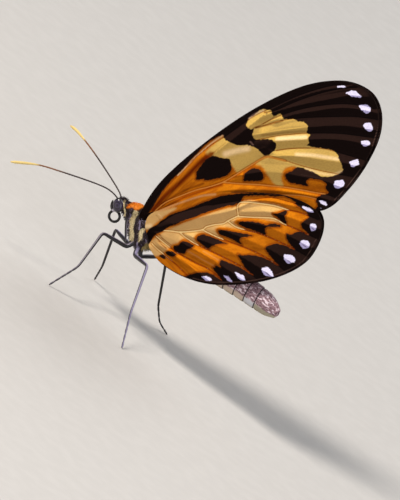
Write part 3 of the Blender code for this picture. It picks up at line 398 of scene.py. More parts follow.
# Body marks seen from the side, as (x, z), and the fine cream line along the thorax's crown
MARK_REACH = 0.6
FLANK_SPAN = (0.2, 0.5)
TAIL_SPAN = (2.2, 3.4)
CROWN_HALF_WIDTH = 0.08
CROWN_HEIGHT = 13.6
CROWN_END = 2.4
CREAM_MARKS = [
    [(-3.1, 13.7), (-2.8, 13.75), (-2.5, 13.65), (-2.4, 13.2), (-2.25, 12.8), (-2.0, 12.3),
     (-1.75, 11.85), (-1.6, 11.5), (-1.2, 11.2), (-0.9, 10.7), (-0.7, 10.3), (-0.7, 9.95),
     (-0.9, 9.7), (-1.3, 9.95), (-1.6, 10.4), (-1.9, 10.9), (-2.3, 11.4), (-2.7, 12.0),
     (-3.0, 12.6), (-3.1, 13.2)],
    [(-0.75, 12.2), (-0.6, 12.5), (-0.3, 12.6), (-0.1, 12.3), (-0.15, 11.9), (0.1, 11.6),
     (0.15, 11.2), (0.1, 10.8), (-0.1, 10.7), (-0.4, 11.2), (-0.7, 11.7)],
    [(-5.15, 13.35), (-4.95, 13.4), (-4.4, 12.95), (-3.95, 12.6), (-3.7, 12.1), (-3.85, 11.95),
     (-4.1, 12.35), (-4.5, 12.65), (-4.9, 13.05)],
]
OLIVE_MARKS = [
    [(1.0, 11.4), (1.3, 11.2), (1.8, 10.9), (1.6, 10.0), (1.0, 9.0), (0.65, 9.4), (0.7, 10.2),
     (0.85, 11.0)],
]
ORANGE_MARKS = [
    [(-4.2, 13.15), (-4.2, 13.75), (-3.9, 14.2), (-3.5, 14.5), (-2.9, 14.8), (-2.5, 14.8),
     (-2.6, 14.1), (-2.75, 13.8), (-3.0, 13.6), (-3.3, 13.6), (-3.5, 13.75), (-3.65, 13.5),
     (-3.95, 13.2)],
]
# Lilac streaks on the thorax's sides: lilac scales with a painted sheen
LILAC_LINES = [
    ([(-3.3, 12.9), (-2.8, 12.0), (-2.2, 11.1)], 0.09, 0.8),
    ([(-1.9, 13.6), (-1.4, 13.2)], 0.14, 1.0),
    ([(-1.3, 13.9), (-0.85, 13.3)], 0.1, 0.8),
    ([(0.2, 12.6), (0.9, 12.35)], 0.12, 0.6),
    ([(0.6, 11.5), (0.9, 11.3)], 0.1, 0.8),
    ([(-0.1, 10.4), (0.3, 8.9)], 0.16, 1.0),
    ([(-4.9, 13.4), (-4.2, 13.35)], 0.12, 0.5),
    ([(-1.7, 13.1), (-1.2, 12.5), (-0.9, 12.0)], 0.16, 0.8),
]

# Head: forwards, sideways and up from its own centre, pitched nose down
HEAD_CENTRE = (-5.2, 12.65)
HEAD_PITCH = math.radians(37)
HEAD_RADII = (0.9, 1.02, 1.0)
EYE_RADII = (0.74, 0.53, 0.99)
EYE_INSET = 0.02
EYE_PLACE = (0.05, 1.15, 0.05)
EYE_RING_RATE = 17.0  # radians for each millimetre from the eye's middle
PALP_PATH = [(0.2, 0.6, -0.55), (0.75, 0.7, -0.75), (1.07, 0.68, -0.4), (1.12, 0.55, 0.2),
             (1.0, 0.45, 0.7)]
PALP_RADII = [0.12, 0.15, 0.2, 0.18, 0.06]
COIL_CENTRE = (0.945, -1.5)
COIL_RADIUS = 0.74
COIL_START_ANGLE = math.radians(75)
COIL_SWEEP = math.radians(325)
COIL_STEPS = 72
TONGUE_ROOT = (0.25, -0.35)
TONGUE_RADIUS = 0.185

# Feelers and legs, as (x, y, z) from inside the body to the tip
FEELER_LEFT = [
    (-5.6, -0.45, 13.1), (-7.1, -1.45, 13.6), (-8.9, -2.75, 13.5), (-13.1, -6.0, 12.5),
    (-15.9, -8.15, 11.65), (-18.6, -10.5, 10.2),
]
FEELER_RIGHT = [
    (-5.6, 0.45, 13.1), (-7.2, 1.5, 13.7), (-13.0, 5.35, 14.4), (-17.5, 8.35, 14.6),
    (-19.4, 9.5, 14.4),
]
SHAFT_RADIUS = 0.105
CLUB_RADIUS = 0.2
CLUB_GROWS = (0.74, 0.9)  # shares of the feeler's length
CLUB_TAPERS = (0.965, 1.0)
CLUB_TAPER = 0.55
BEAD_JOINT_WIDTH = 0.16
FEELER_STEP = 0.06
FEELER_BEADS = 46
FEELER_BEAD_DEPTH = 0.12
FOOT_BEADS = 5
FOOT_BEAD_DEPTH = 0.28
LEGS = {
    "midleg_left": [(-0.5, -0.6, 10.3), (-0.9, -1.25, 9.0), (-4.1, -4.0, 9.1), (-3.3, -7.5, 4.2),
                    (-4.7, -9.0, 0.13)],
    "midleg_right": [(-0.7, 0.6, 10.3), (-1.2, 1.25, 8.8), (-4.7, 4.0, 8.6), (-3.9, 7.5, 2.6),
                     (-4.0, 9.0, 0.13)],
    "hindleg_left": [(0.1, -0.6, 10.2), (0.6, -1.25, 8.8), (3.7, -5.0, 9.7), (6.5, -9.0, 4.3),
                     (8.7, -10.4, 0.13)],
    "hindleg_right": [(0.1, 0.6, 10.2), (0.75, 1.25, 8.5), (3.0, 5.0, 9.9), (5.2, 9.0, 2.9),
                      (6.4, 10.2, 1.0), (8.1, 11.0, 0.13)],
}
LEG_RADII = [0.36, 0.3, 0.2, 0.15, 0.12]
LEG_BEND_REACH = 0.45
LEG_STEP = 0.1
THIGH_SWELL = 0.03
LILAC_LEGS = ("midleg_right", "hindleg_left")
FORELEG = [(-3.6, 0.5, 12.5), (-3.2, 0.85, 11.8), (-2.5, 1.0, 10.75), (-1.6, 1.0, 9.5)]
FORELEG_RADII = [0.2, 0.2, 0.18, 0.12]

# The photograph's view: from the left, turned towards the tail, raised, and rolled to the left. A long
# lens from far away takes in 67 mm of height at the butterfly.
LENS = 1000
SENSOR_HEIGHT = 36
CAMERA_DISTANCE = 1861
CAMERA_TARGET = (5.761, 2.395, 14.109)
CAMERA_TURN = math.radians(11.84)
CAMERA_RISE = math.radians(13.409)
CAMERA_ROLL = math.radians(36.574)
FLOOR_SIZE = 3.0  # metres


def linear(code):
    """A colour written as an sRGB hex value, in linear light."""
    parts = [int(code[k:k + 2], 16) / 255 for k in (0, 2, 4)]
    return (*[p / 12.92 if p <= 0.04045 else ((p + 0.055) / 1.055) ** 2.4 for p in parts], 1.0)


def set_inputs(tree, shader, inputs):
    """Links each input that is given a socket, or a node's first output, and sets the others."""
    for key, value in inputs.items():
        if isinstance(value, bpy.types.Node):
            value = value.outputs[0]
        if isinstance(value, bpy.types.NodeSocket):
            tree.links.new(value, shader.inputs[key])
        else:
            shader.inputs[key].default_value = value


def node(tree, kind, inputs=None, **settings):
    """Adds a node with its properties and inputs."""
    made = tree.nodes.new("ShaderNode" + kind)
    for name, value in settings.items():
        setattr(made, name, value)
    set_inputs(tree, made, inputs or {})
    return made


# Flat geometry on arrays of points

def smooth_curve(points, per_span, closed=False):
    """A Catmull-Rom curve through the points, as an array."""
    points = np.array(points, float)
    if closed:
        around = np.concatenate([points[-1:], points, points[:2]])
    else:
        before, after = 2 * points[:1] - points[1:2], 2 * points[-1:] - points[-2:-1]
        around = np.concatenate([before, points, after])
    share = (np.arange(per_span) / per_span)[None, :, None]
    a, b, c, d = (around[k:len(around) - 3 + k][:, None, :] for k in range(4))
    second = 2 * a - 5 * b + 4 * c - d
    third = 3 * b - a - 3 * c + d
    found = (b + 0.5 * share * (c - a + share * (second + share * third))).reshape(-1, points.shape[1])
    return found if closed else np.concatenate([found, points[-1:]])


def even_samples(curve, step):
    """Points about one step apart along a fine curve."""
    lengths = np.concatenate([[0], np.cumsum(np.linalg.norm(np.diff(curve, axis=0), axis=1))])
    count = max(int(round(lengths[-1] / step)), 2)
    at = np.linspace(0, lengths[-1], count + 1)
    return np.stack([np.interp(at, lengths, curve[:, k]) for k in range(curve.shape[1])], axis=1)


def closed_line(outline):
    return np.concatenate([outline, outline[:1]])


def nearest_on_line(places, line):
    """For each flat place, the distance to a line of points and the nearest point on it."""
    start = line[:-1]
    run = line[1:] - start
    best = np.full(len(places), np.inf)
    spot = np.zeros((len(places), 2))
    for s, r in zip(start, run):
        share = np.clip(((places - s) @ r) / max(r @ r, 1e-12), 0, 1)
        point = s + share[:, None] * r
        reach = np.linalg.norm(places - point, axis=1)
        closer = reach < best
        best[closer] = reach[closer]
        spot[closer] = point[closer]
    return best, spot


def inside(places, outline):
    """Which flat places lie inside a closed outline."""
    crossed = np.zeros(len(places), bool)
    for (x1, z1), (x2, z2) in zip(outline, np.roll(outline, -1, axis=0)):
        spans = (z1 > places[:, 1]) != (z2 > places[:, 1])
        if z1 != z2:
            crossed ^= spans & (places[:, 0] < x1 + (places[:, 1] - z1) * (x2 - x1) / (z2 - z1))
    return crossed


def depth_in(places, outlines, reach=1.6):
    """How deep each place lies in the nearest outline, below zero outside, down to -reach."""
    found = np.full(len(places), -reach)
    for points in outlines:
        outline = smooth_curve(points, 3, closed=True)
        low, high = outline.min(axis=0) - reach, outline.max(axis=0) + reach
        near = np.where(((places > low) & (places < high)).all(axis=1))[0]
        if not len(near):
            continue
        distance, _ = nearest_on_line(places[near], closed_line(outline))
        signed = np.where(inside(places[near], outline), distance, -distance)
        found[near] = np.maximum(found[near], signed)
    return found


def distance_to_lines(places, lines):
    """How far each place is from the nearest of some lines."""
    found = np.full(len(places), np.inf)
    for line in lines:
        found = np.minimum(found, nearest_on_line(places, smooth_curve(line, 4))[0])
    return found


def line_strength(places, lines):
    """The sum of fine lines, each with its own half width and strength."""
    found = np.zeros(len(places))
    for points, half_width, strength in lines:
        distance, _ = nearest_on_line(places, smooth_curve(points, 4))
        found += strength * np.exp(-(distance / half_width) ** 2)
    return found


def smooth_step(value, low, high):
    share = np.clip((value - low) / (high - low), 0.0, 1.0)
    return share * share * (3 - 2 * share)


# Meshes

def deselect():
    bpy.ops.object.select_all(action="DESELECT")


def new_primitive(name):
    """Names the primitive that was just added."""
    made = bpy.context.object
    made.name = made.data.name = name
    return made


def activate(obj):
    deselect()
    obj.select_set(True)
    bpy.context.view_layer.objects.active = obj


def read_points(mesh):
    flat = np.empty(len(mesh.vertices) * 3)
    mesh.vertices.foreach_get("co", flat)
    return flat.reshape(-1, 3)


def write_points(mesh, points):
    mesh.vertices.foreach_set("co", np.ascontiguousarray(points, float).ravel())
    mesh.update()


def write_field(mesh, name, values):
    """A number, or a vector, kept at every point of a mesh for its material."""
    vector = values.ndim == 2
    kept = mesh.attributes.new(name, "FLOAT_VECTOR" if vector else "FLOAT", "POINT")
    kept.data.foreach_set("vector" if vector else "value", np.ascontiguousarray(values, float).ravel())


def face_outwards(obj):
    activate(obj)
    bpy.ops.object.mode_set(mode="EDIT")
    bpy.ops.mesh.select_all(action="SELECT")
    bpy.ops.mesh.normals_make_consistent(inside=False)
    bpy.ops.object.mode_set(mode="OBJECT")


def apply(obj, kind, **settings):
    """Adds a modifier with its settings and applies it at once."""
    activate(obj)
    modifier = obj.modifiers.new(kind.title(), kind)
    for name, value in settings.items():
        setattr(modifier, name, value)
    bpy.ops.object.modifier_apply(modifier=modifier.name)


def design_shift():
    """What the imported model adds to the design's places, found from one eye's box."""
    low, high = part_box("eye_left")
    middle = (np.array(low) + np.array(high)) / (2 * MM)
    return middle - np.array(head_point(EYE_PLACE[0], -EYE_PLACE[1], EYE_PLACE[2]))


def finish_piece(obj, finish, slot, *nodes):
    """Sets a piece from design millimetres to its place in metres, with its looks and its body."""
    points = read_points(obj.data)
    write_points(obj.data, (points + SHIFT) * MM)
    obj.data.materials.clear()
    obj.data.materials.append(finish)
    activate(obj)
    bpy.ops.object.shade_smooth_by_angle(angle=SMOOTH_ANGLE)
    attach(obj, "root")
    if nodes:
        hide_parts(*nodes)


def head_point(forwards, sideways, up):
    """A place given in the head's own directions."""
    x = HEAD_CENTRE[0] - forwards * math.cos(HEAD_PITCH) - up * math.sin(HEAD_PITCH)
    z = HEAD_CENTRE[1] - forwards * math.sin(HEAD_PITCH) + up * math.cos(HEAD_PITCH)
    return (x, sideways, z)


SHIFT = design_shift()


def path_frames(path, upright):
    """At each point of a path, its direction and two directions square to it."""
    along = np.gradient(path, axis=0)
    along /= np.linalg.norm(along, axis=1)[:, None]
    if upright:
        across = np.tile([0.0, 1.0, 0.0], (len(path), 1))
    else:
        across = np.zeros_like(path)
        last = np.cross(along[0], [0.0, 0.0, 1.0])
        for k, direction in enumerate(along):
            last = last - direction * (last @ direction)
            last /= np.linalg.norm(last)
            across[k] = last
    return along, across, np.cross(across, along)


def sleeve(name, path, tall, wide=None, sides=12, upright=False, cap=0.5):
    """A closed bar, shaped from a sphere whose rings are moved along a path."""
    path = np.array(path, float)
    tall = np.array(tall, float)
    wide = tall if wide is None else np.array(wide, float)
    rings = len(path)
    deselect()
    bpy.ops.mesh.primitive_uv_sphere_add(segments=sides, ring_count=rings + 1, radius=1.0)
    made = new_primitive(name)
    points = read_points(made.data)
    ring = np.rint(np.arccos(np.clip(points[:, 2], -1, 1)) / math.pi * (rings + 1)).astype(int)
    turn = np.arctan2(points[:, 1], points[:, 0])
    along, across, up = path_frames(path, upright)
    k = np.clip(ring - 1, 0, rings - 1)
    out = path[k] + across[k] * (wide[k] * np.cos(turn))[:, None]
    out += up[k] * (tall[k] * np.sin(turn))[:, None]
    out[ring == 0] = path[0] - along[0] * tall[0] * cap
    out[ring == rings + 1] = path[-1] + along[-1] * tall[-1] * cap
    write_points(made.data, out)
    write_field(made.data, "along", np.clip((ring - 1) / max(rings - 1, 1), 0, 1))
    write_field(made.data, "upper", np.sin(turn) * np.sign(up[k][:, 2] + 1e-6))
    face_outwards(made)
    return made


# Wings

def reach_from(places, root):
    """How far each place is from a wing's root."""
    return np.hypot(places[:, 0] - root[0], places[:, 1] - root[1])


def fore_spread(places):
    """The forewing leans out from its tip to its root."""
    flare = 1 - smooth_step(reach_from(places, FORE_ROOT), *FORE_FLARE_SPAN)
    return FORE_TIP_OFFSET + FORE_ROOT_FLARE * flare


def fore_y(places):
    tuck = 1 - smooth_step(reach_from(places, FORE_ROOT), *FORE_TUCK_SPAN)
    return fore_spread(places) - FORE_ROOT_TUCK * tuck


def hind_y(places):
    """The hindwing lies outside the forewing and bulges round the abdomen and the thorax."""
    over_forewing = fore_spread(places) + HIND_CLEARANCE
    start, end = np.array(ABDOMEN_LINE)
    along = (end - start) / np.linalg.norm(end - start)
    offset = places - start
    height = offset[:, 1] * along[0] - offset[:, 0] * along[1]
    bulge = BODY_BULGE + THORAX_BULGE * (1 - smooth_step(places[:, 0], *THORAX_END_SPAN))
    over_body = BODY_CLEARANCE + bulge * (1 - smooth_step(height, *BULGE_HEIGHT_SPAN))
    outer = (over_forewing + over_body + np.hypot(over_forewing - over_body, CLEARANCE_BLEND)) / 2
    return outer - HIND_ROOT_TUCK * (1 - smooth_step(reach_from(places, HIND_ROOT), *HIND_TUCK_SPAN))


def flat_net(name, outline):
    """A fine grid cut to the wing's outline, with its rim drawn onto the outline."""
    low, high = outline.min(axis=0), outline.max(axis=0)
    counts = np.ceil((high - low) / NET_STEP).astype(int)
    deselect()
    bpy.ops.mesh.primitive_grid_add(x_subdivisions=int(counts[0]), y_subdivisions=int(counts[1]), size=2.0)
    made = new_primitive(name)
    points = read_points(made.data)
    flat = (low + high) / 2 + points[:, :2] * (high - low) / 2
    write_points(made.data, np.column_stack([flat[:, 0], np.zeros(len(flat)), flat[:, 1]]))
    shape = bmesh.new()
    shape.from_mesh(made.data)
    middles = np.array([face.calc_center_median() for face in shape.faces])[:, [0, 2]]
    outside = [face for face, kept in zip(shape.faces, inside(middles, outline)) if not kept]
    bmesh.ops.delete(shape, geom=outside, context="FACES")
    rim = [vertex for vertex in shape.verts if vertex.is_boundary]
    _, spots = nearest_on_line(np.array([v.co for v in rim])[:, [0, 2]], closed_line(outline))
    for vertex, (x, z) in zip(rim, spots):
        vertex.co = (x, 0, z)
    bmesh.ops.remove_doubles(shape, verts=rim, dist=0.02)
    shape.to_mesh(made.data)
    shape.free()
    return made


def pleat_share(places, veins, folds):
    """Zero on a vein and one on the fold between two veins."""
    vein = distance_to_lines(places, veins)
    fold = distance_to_lines(places, folds)
    return vein / (vein + fold + 0.02), vein


def wing_fields(places, outline, wing):
    """Everything a wing's material reads, worked out from the drawn lines and outlines."""
    step = np.array(UPHILL) * PLEAT_REACH
    (pleat, vein), (above, _), (below, _) = (
        pleat_share(places + way * step, wing["veins"], wing["folds"]) for way in (0, 1, -1))
    pale = depth_in(places, wing["pale"])
    fade = wing["vein_fade"] * (1 - smooth_step(pale, *VEIN_FADE_SPAN))
    return {
        "vein": vein, "pale_vein": distance_to_lines(places, wing["pale_veins"]) + fade, "pleat": pleat,
        # lit: how far each place faces UPHILL on its pleat, which the material paints as highlight and
        # shade
        "lit": np.clip((below - above) / (2 * PLEAT_REACH), -1, 1),
        "rim": nearest_on_line(places, closed_line(outline))[0],
        "black": depth_in(places, wing["black"]), "pale": pale,
        # line: scale lines with painted highlights and painted shade
        "white": depth_in(places, wing["white"]), "line": line_strength(places, wing["lines"]),
    }


def build_wing(part, middle_y, finish):
    """The left wing, and its copy on the right."""
    wing = WINGS[part]
    outline = smooth_curve(wing["outline"], 12, closed=True)
    left = flat_net(f"{part}_left_scales", outline)
    places = read_points(left.data)[:, [0, 2]]
    fields = wing_fields(places, outline, wing)
    offset = places - np.array(wing["root"])
    reach = np.hypot(offset[:, 0], offset[:, 1])
    turn = np.arctan2(offset[:, 0], offset[:, 1])
    for name, values in fields.items():
        write_field(left.data, name, values)
    bare = wing["bare_turn"]
    dark_edge = smooth_step(turn, bare, bare + 0.06) * smooth_step(reach, *DARK_EDGE_SPAN)
    write_field(left.data, "edge", (1 - dark_edge) + fields["rim"])
    held_back = EDGING_HELD_BACK * (1 - smooth_step(reach, *EDGING_SPAN))
    write_field(left.data, "edging", fields["black"] - held_back)
    write_field(left.data, "flow", np.column_stack([reach, turn * ROW_REACH, np.zeros(len(turn))]))
    ease = smooth_step(fields["rim"], *RIM_PLEAT_SPAN) * smooth_step(reach, *ROOT_PLEAT_SPAN)
    ridge = np.clip(1 - fields["vein"] / VEIN_WIDTH, 0, 1) * VEIN_RISE
    ridge = ridge * smooth_step(fields["rim"], *RIM_RIDGE_SPAN)
    relief = PLEAT_HEIGHT * (fields["pleat"] - 0.5) * ease + ridge
    y = middle_y(places) + relief
    write_points(left.data, np.column_stack([places[:, 0], -y, places[:, 1]]))
    right = left.copy()
    right.data = left.data.copy()
    right.name = right.data.name = f"{part}_right_scales"
    bpy.context.scene.collection.objects.link(right)
    shifted = places + np.array(wing["right_shift"])
    write_points(right.data, np.column_stack([shifted[:, 0], middle_y(shifted) + relief, shifted[:, 1]]))
    for obj, side in ((left, "left"), (right, "right")):
        apply(obj, "SOLIDIFY", thickness=SHEET_THICKNESS, offset=0.0, use_even_offset=True)
        face_outwards(obj)
        finish_piece(obj, finish, "wing", f"{part}_{side}")


# Body

def abdomen_line(x):
    """The abdomen's middle height and half height at places along it."""
    stations = smooth_curve(ABDOMEN, 8)
    return np.interp(x, stations[:, 0], stations[:, 1]), np.interp(x, stations[:, 0], stations[:, 2])


def joint_places(points):
    """How many leaning joints lie before a place, with the fraction of the way to the next."""
    middle, _ = abdomen_line(points[:, 0])
    along = points[:, 0] + JOINT_LEAN * (points[:, 2] - middle)
    return np.minimum((along - FIRST_JOINT) / SEGMENT_LENGTH, LAST_JOINT + 0.45)


def loft(name, stations, rings, sides, shrink, jointed=False):
    """A body of ellipses along a curve in the middle plane."""
    per_span = max(rings // (len(stations) - 1), 2)
    curve = smooth_curve(stations, per_span)
    path = np.column_stack([curve[:, 0], np.zeros(len(curve)), curve[:, 1]])
    made = sleeve(name, path, curve[:, 2] - shrink, curve[:, 3] - shrink, sides, upright=True, cap=0.35)
    if jointed:
        points = read_points(made.data)
        places = joint_places(points)
        groove = np.exp(-((places - np.rint(places)) / JOINT_WIDTH) ** 2)
        waist = 1 + SEGMENT_FLARE * (places - np.floor(places)) - JOINT_DEPTH * groove
        middle, _ = abdomen_line(points[:, 0])
        points[:, 1] *= waist
        points[:, 2] = middle + (points[:, 2] - middle) * waist
        write_points(made.data, points)
    return made


def ball(name, centre, radii, segments, rings):
    """An ellipsoid in the head's own directions."""
    deselect()
    bpy.ops.mesh.primitive_uv_sphere_add(segments=segments, ring_count=rings, radius=1.0)
    made = new_primitive(name)
    points = read_points(made.data) * np.array(radii)
    out = [head_point(centre[0] + p[0], centre[1] + p[1], centre[2] + p[2]) for p in points]
    write_points(made.data, out)
    face_outwards(made)
    return made


def body_fields(points):
    """The body's markings at any place on its surface, for the skin and for its coat alike."""
    side = points[:, [0, 2]]
    flank = smooth_step(np.abs(points[:, 1]), *FLANK_SPAN)
    cream = np.where(flank > 0.5, depth_in(side, CREAM_MARKS, MARK_REACH), -MARK_REACH)
    crown = np.maximum(CROWN_HALF_WIDTH - np.abs(points[:, 1]), -MARK_REACH)
    on_top = (points[:, 2] > CROWN_HEIGHT) & (np.abs(points[:, 0]) < CROWN_END)
    cream = np.where(on_top, np.maximum(cream, crown), cream)
    lilac = line_strength(side, LILAC_LINES) * flank
    middle, tall = abdomen_line(points[:, 0])
    height = (points[:, 2] - middle) / tall
    olive = np.where(flank > 0.1, depth_in(side, OLIVE_MARKS, MARK_REACH), -MARK_REACH)
    return {
        "cream": cream, "orange": depth_in(side, ORANGE_MARKS, MARK_REACH), "olive": olive,
        "lilac": lilac, "tail": smooth_step(points[:, 0], *TAIL_SPAN), "height": height,
        "joint": joint_places(points),
    }


def body_skin(finish):
    """One skin over head, neck, collar, thorax and abdomen, with no seams between them."""
    parts = [
        loft("thorax_form", THORAX, 70, 48, COAT_DEPTH), loft("neck_form", PROTHORAX, 40, 40, COAT_DEPTH),
        loft("collar_form", COLLAR, 40, 40, COAT_DEPTH), loft("waist_form", WAIST, 30, 40, COAT_DEPTH),
        loft("abdomen_form", ABDOMEN, 210, 48, COAT_DEPTH * 0.6, True),
        ball("head_form", (-0.1, 0, 0), [r - COAT_DEPTH for r in HEAD_RADII], 40, 28),
    ]
    deselect()
    for part in parts:
        part.select_set(True)
    bpy.context.view_layer.objects.active = parts[0]
    bpy.ops.object.join()
    skin = parts[0]
    skin.name = skin.data.name = "body_skin"
    for name in ("along", "upper"):
        skin.data.attributes.remove(skin.data.attributes[name])
    apply(skin, "REMESH", mode="VOXEL", voxel_size=SKIN_VOXEL, use_smooth_shade=True)
    apply(skin, "SMOOTH", factor=0.5, iterations=3)
    for name, values in body_fields(read_points(skin.data)).items():
        write_field(skin.data, name, values)
    points = [Vector(point) for point in read_points(skin.data)]
    tree = BVHTree.FromPolygons(points, [tuple(face.vertices) for face in skin.data.polygons])
    finish_piece(skin, finish, "scales_dark", "head", "prothorax", "collar", "thorax", "abdomen")
    return tree


def hair_seeds(tree, generator):
    """Roots, directions, lengths and unwrapped places of the coat's tufts."""
    seeds = []
    for stations, count, length, comb, band in COAT_AREAS:
        curve = smooth_curve(stations, 12)
        for _ in range(count):
            share = generator.random()
            at = share * (len(curve) - 1)
            x, z, tall, wide = (np.interp(at, np.arange(len(curve)), curve[:, k]) for k in range(4))
            turn = generator.uniform(0, 2 * math.pi)
            out = Vector((0, math.cos(turn), math.sin(turn)))
            guess = Vector((x, wide * out.y, z + tall * out.z))
            seeds.append((guess, length, comb, band + 0.24 * share, turn / (2 * math.pi)))
    for _ in range(HEAD_TUFTS):
        tip = Vector([generator.gauss(0, 1) for _ in range(3)]).normalized()
        if tip.x > 0.6 or tip.z < 0.35 or abs(tip.y) > 0.75:
            continue
        guess = Vector(head_point(tip.x * 0.8 - 0.1, tip.y * 0.9, tip.z * 0.9))
        turn = math.atan2(tip.z, tip.y) / (2 * math.pi) + 0.5
        seeds.append((guess, HEAD_TUFT_LENGTH, (0.2, 0.8), 0.75 + 0.12 * (tip.x + 1), turn))
    for guess, length, comb, u, v in seeds:
        root, normal, _, reach = tree.find_nearest(guess)
        if root is not None and reach < TUFT_ROOT_REACH:
            yield root, normal, length, comb, u, v


def coat(tree, finish):
    """Short tufts that break the body's outline: narrow three-sided blades, bent at the middle."""
    generator = random.Random(11)
    points, faces, roots, patches = [], [], [], []
    for root, normal, length, comb, u, v in hair_seeds(tree, generator):
        size = length * generator.uniform(*TUFT_SIZES)
        sway = Vector([generator.uniform(-TUFT_SWAY, TUFT_SWAY) for _ in range(3)])
        rise = (normal * 0.75 + Vector((comb[0] * 0.4, 0, comb[1] * 0.4)) + sway).normalized()
        lean = (rise * 0.5 + Vector((comb[0], normal.y * 0.3, comb[1])) + sway).normalized()
        side = rise.cross(Vector((0.3, 0.9, 0.2))).normalized()
        other = rise.cross(side)
        width = generator.uniform(*TUFT_RADII)
        first = len(points)
        middle = root + rise * size * 0.55
        for centre, share in ((root - normal * 0.05, 1.0), (middle, 0.7)):
            for k in range(3):
                turn = 2 * math.pi * k / 3
                offset = side * math.cos(turn) + other * math.sin(turn)
                points.append(centre + offset * width * share)
        points.append(middle + lean * size * 0.5)
        for k in range(3):
            after = (k + 1) % 3
            faces.append((first + k, first + after, first + 3 + after, first + 3 + k))
            faces.append((first + 3 + k, first + 3 + after, first + 6))
        faces.append((first + 2, first + 1, first))
        roots += [tuple(root)] * 7
        patches += [(u, v)] * 7
    mesh = bpy.data.meshes.new("body_coat")
    mesh.from_pydata([tuple(point) for point in points], [], faces)
    made = bpy.data.objects.new("body_coat", mesh)
    bpy.context.scene.collection.objects.link(made)
    for name, values in body_fields(np.array(roots)).items():
        write_field(mesh, name, values)
    spread = TUFT_PATCH * np.array([(0, 0), (1, 0), (1 / 2, 1 / 3), (0, 2 / 3), (1, 2 / 3), (1 / 2, 5 / 6),
                                    (1 / 2, 1)])
    unwrap = mesh.uv_layers.new(name="OFBake")
    corners = np.array([loop.vertex_index for loop in mesh.loops])
    places = np.array(patches)[corners] * 0.99 + spread[corners % 7]
    unwrap.data.foreach_set("uv", places.ravel())
    face_outwards(made)
    finish_piece(made, finish, "scales_orange")


def beads(count, depth, places):
    """Shrinks a limb's thickness at its joints, seen as a row of beads."""
    joint = places * count - np.rint(places * count)
    return 1 - depth * np.exp(-(joint / BEAD_JOINT_WIDTH) ** 2)


def with_radii(points, radii):
    return [np.array([*point, radius]) for point, radius in zip(points, radii)]


def limb(name, points, radii, step, finish, cad_node):
    """A limb along the smooth curve through a few points, with a radius given at each."""
    fine = even_samples(smooth_curve(with_radii(points, radii), 16), step)
    finish_piece(sleeve(name, fine[:, :3], fine[:, 3], sides=14), finish, "horn", cad_node)


def feeler(name, points, finish, cad_node):
    """A beaded shaft that swells to a long club."""
    fine = even_samples(smooth_curve(points, 30), FEELER_STEP)
    share = np.linspace(0, 1, len(fine))
    club = smooth_step(share, *CLUB_GROWS)
    tip = 1 - CLUB_TAPER * smooth_step(share, *CLUB_TAPERS)
    radii = (SHAFT_RADIUS + (CLUB_RADIUS - SHAFT_RADIUS) * club) * tip
    made = sleeve(name, fine, radii * beads(FEELER_BEADS, FEELER_BEAD_DEPTH, share), sides=12)
    finish_piece(made, finish, "horn", cad_node)


def bent_leg(points, radii):
    """A leg's bars with short bends at their joints."""
    rows = with_radii(points, radii)
    path = [rows[0]]
    for before, at, after in zip(rows, rows[1:], rows[2:]):
        enter = at + (before - at) * LEG_BEND_REACH / np.linalg.norm(before[:3] - at[:3])
        leave = at + (after - at) * LEG_BEND_REACH / np.linalg.norm(after[:3] - at[:3])
        path += [enter, at * 0.5 + (enter + leave) * 0.25, leave]
    return np.array(path + [rows[-1]])


def leg(name, points, finish):
    """Hip, thigh, shin and a foot of five joints."""
    radii = LEG_RADII + LEG_RADII[-1:] * (len(points) - len(LEG_RADII))
    rows = bent_leg(points, radii)
    fine = even_samples(rows, LEG_STEP)
    lengths = np.linspace(0, 1, len(fine))
    bounds = np.cumsum([0] + [math.dist(a, b) for a, b in zip(points, points[1:])])
    bounds = bounds / bounds[-1]
    thickness = fine[:, 3].copy()
    thigh = np.clip((lengths - bounds[1]) / (bounds[2] - bounds[1]), 0, 1)
    thickness += THIGH_SWELL * np.sin(thigh * math.pi)
    foot = np.clip((lengths - bounds[3]) / (1 - bounds[3]), 0, 1)
    thickness *= np.where(lengths > bounds[3], beads(FOOT_BEADS, FOOT_BEAD_DEPTH, foot), 1)
    made = sleeve(name + "_scales", fine[:, :3], thickness, sides=14)
    finish_piece(made, finish, "horn", name)


def coil_path():
    """The tongue's middle line, from the mouth round its coil."""
    points = [head_point(TONGUE_ROOT[0], 0, TONGUE_ROOT[1])]
    for k in range(COIL_STEPS + 1):
        angle = COIL_START_ANGLE - COIL_SWEEP * k / COIL_STEPS
        forwards = COIL_CENTRE[0] + COIL_RADIUS * math.cos(angle)
        points.append(head_point(forwards, 0, COIL_CENTRE[1] + COIL_RADIUS * math.sin(angle)))
    return points


def build_head(finishes):
    """Eyes, palps and feelers on both sides, and the coiled tongue."""
    for side, name, feelers in ((-1, "left", FEELER_LEFT), (1, "right", FEELER_RIGHT)):
        centre = (EYE_PLACE[0], side * EYE_PLACE[1], EYE_PLACE[2])
        eye = ball(f"eye_{name}_lens", centre, [r - EYE_INSET for r in EYE_RADII], 64, 48)
        middle = np.array(head_point(*centre))
        offset = read_points(eye.data) - middle
        write_field(eye.data, "ringwise", np.hypot(offset[:, 0], offset[:, 2]))
        finish_piece(eye, finishes["eye"], "eye", f"eye_{name}")
        path = [head_point(forwards, side * out, up) for forwards, out, up in PALP_PATH]
        limb(f"palp_{name}_scales", path, PALP_RADII, 0.06, finishes["palp"], f"palp_{name}")
        feeler(f"antenna_{name}_beads", feelers, finishes["feeler"], f"antenna_{name}")
    coil = coil_path()
    tongue = sleeve("proboscis_coil", coil, [TONGUE_RADIUS] * len(coil), sides=16)
    finish_piece(tongue, finishes["tongue"], "horn", "proboscis")


# Looks

def new_material(name):
    made = bpy.data.materials.new(name)
    made.use_nodes = True
    return made, made.node_tree, made.node_tree.nodes["Principled BSDF"]


def attribute(tree, name, output="Fac"):
    return node(tree, "Attribute", attribute_name=name).outputs[output]


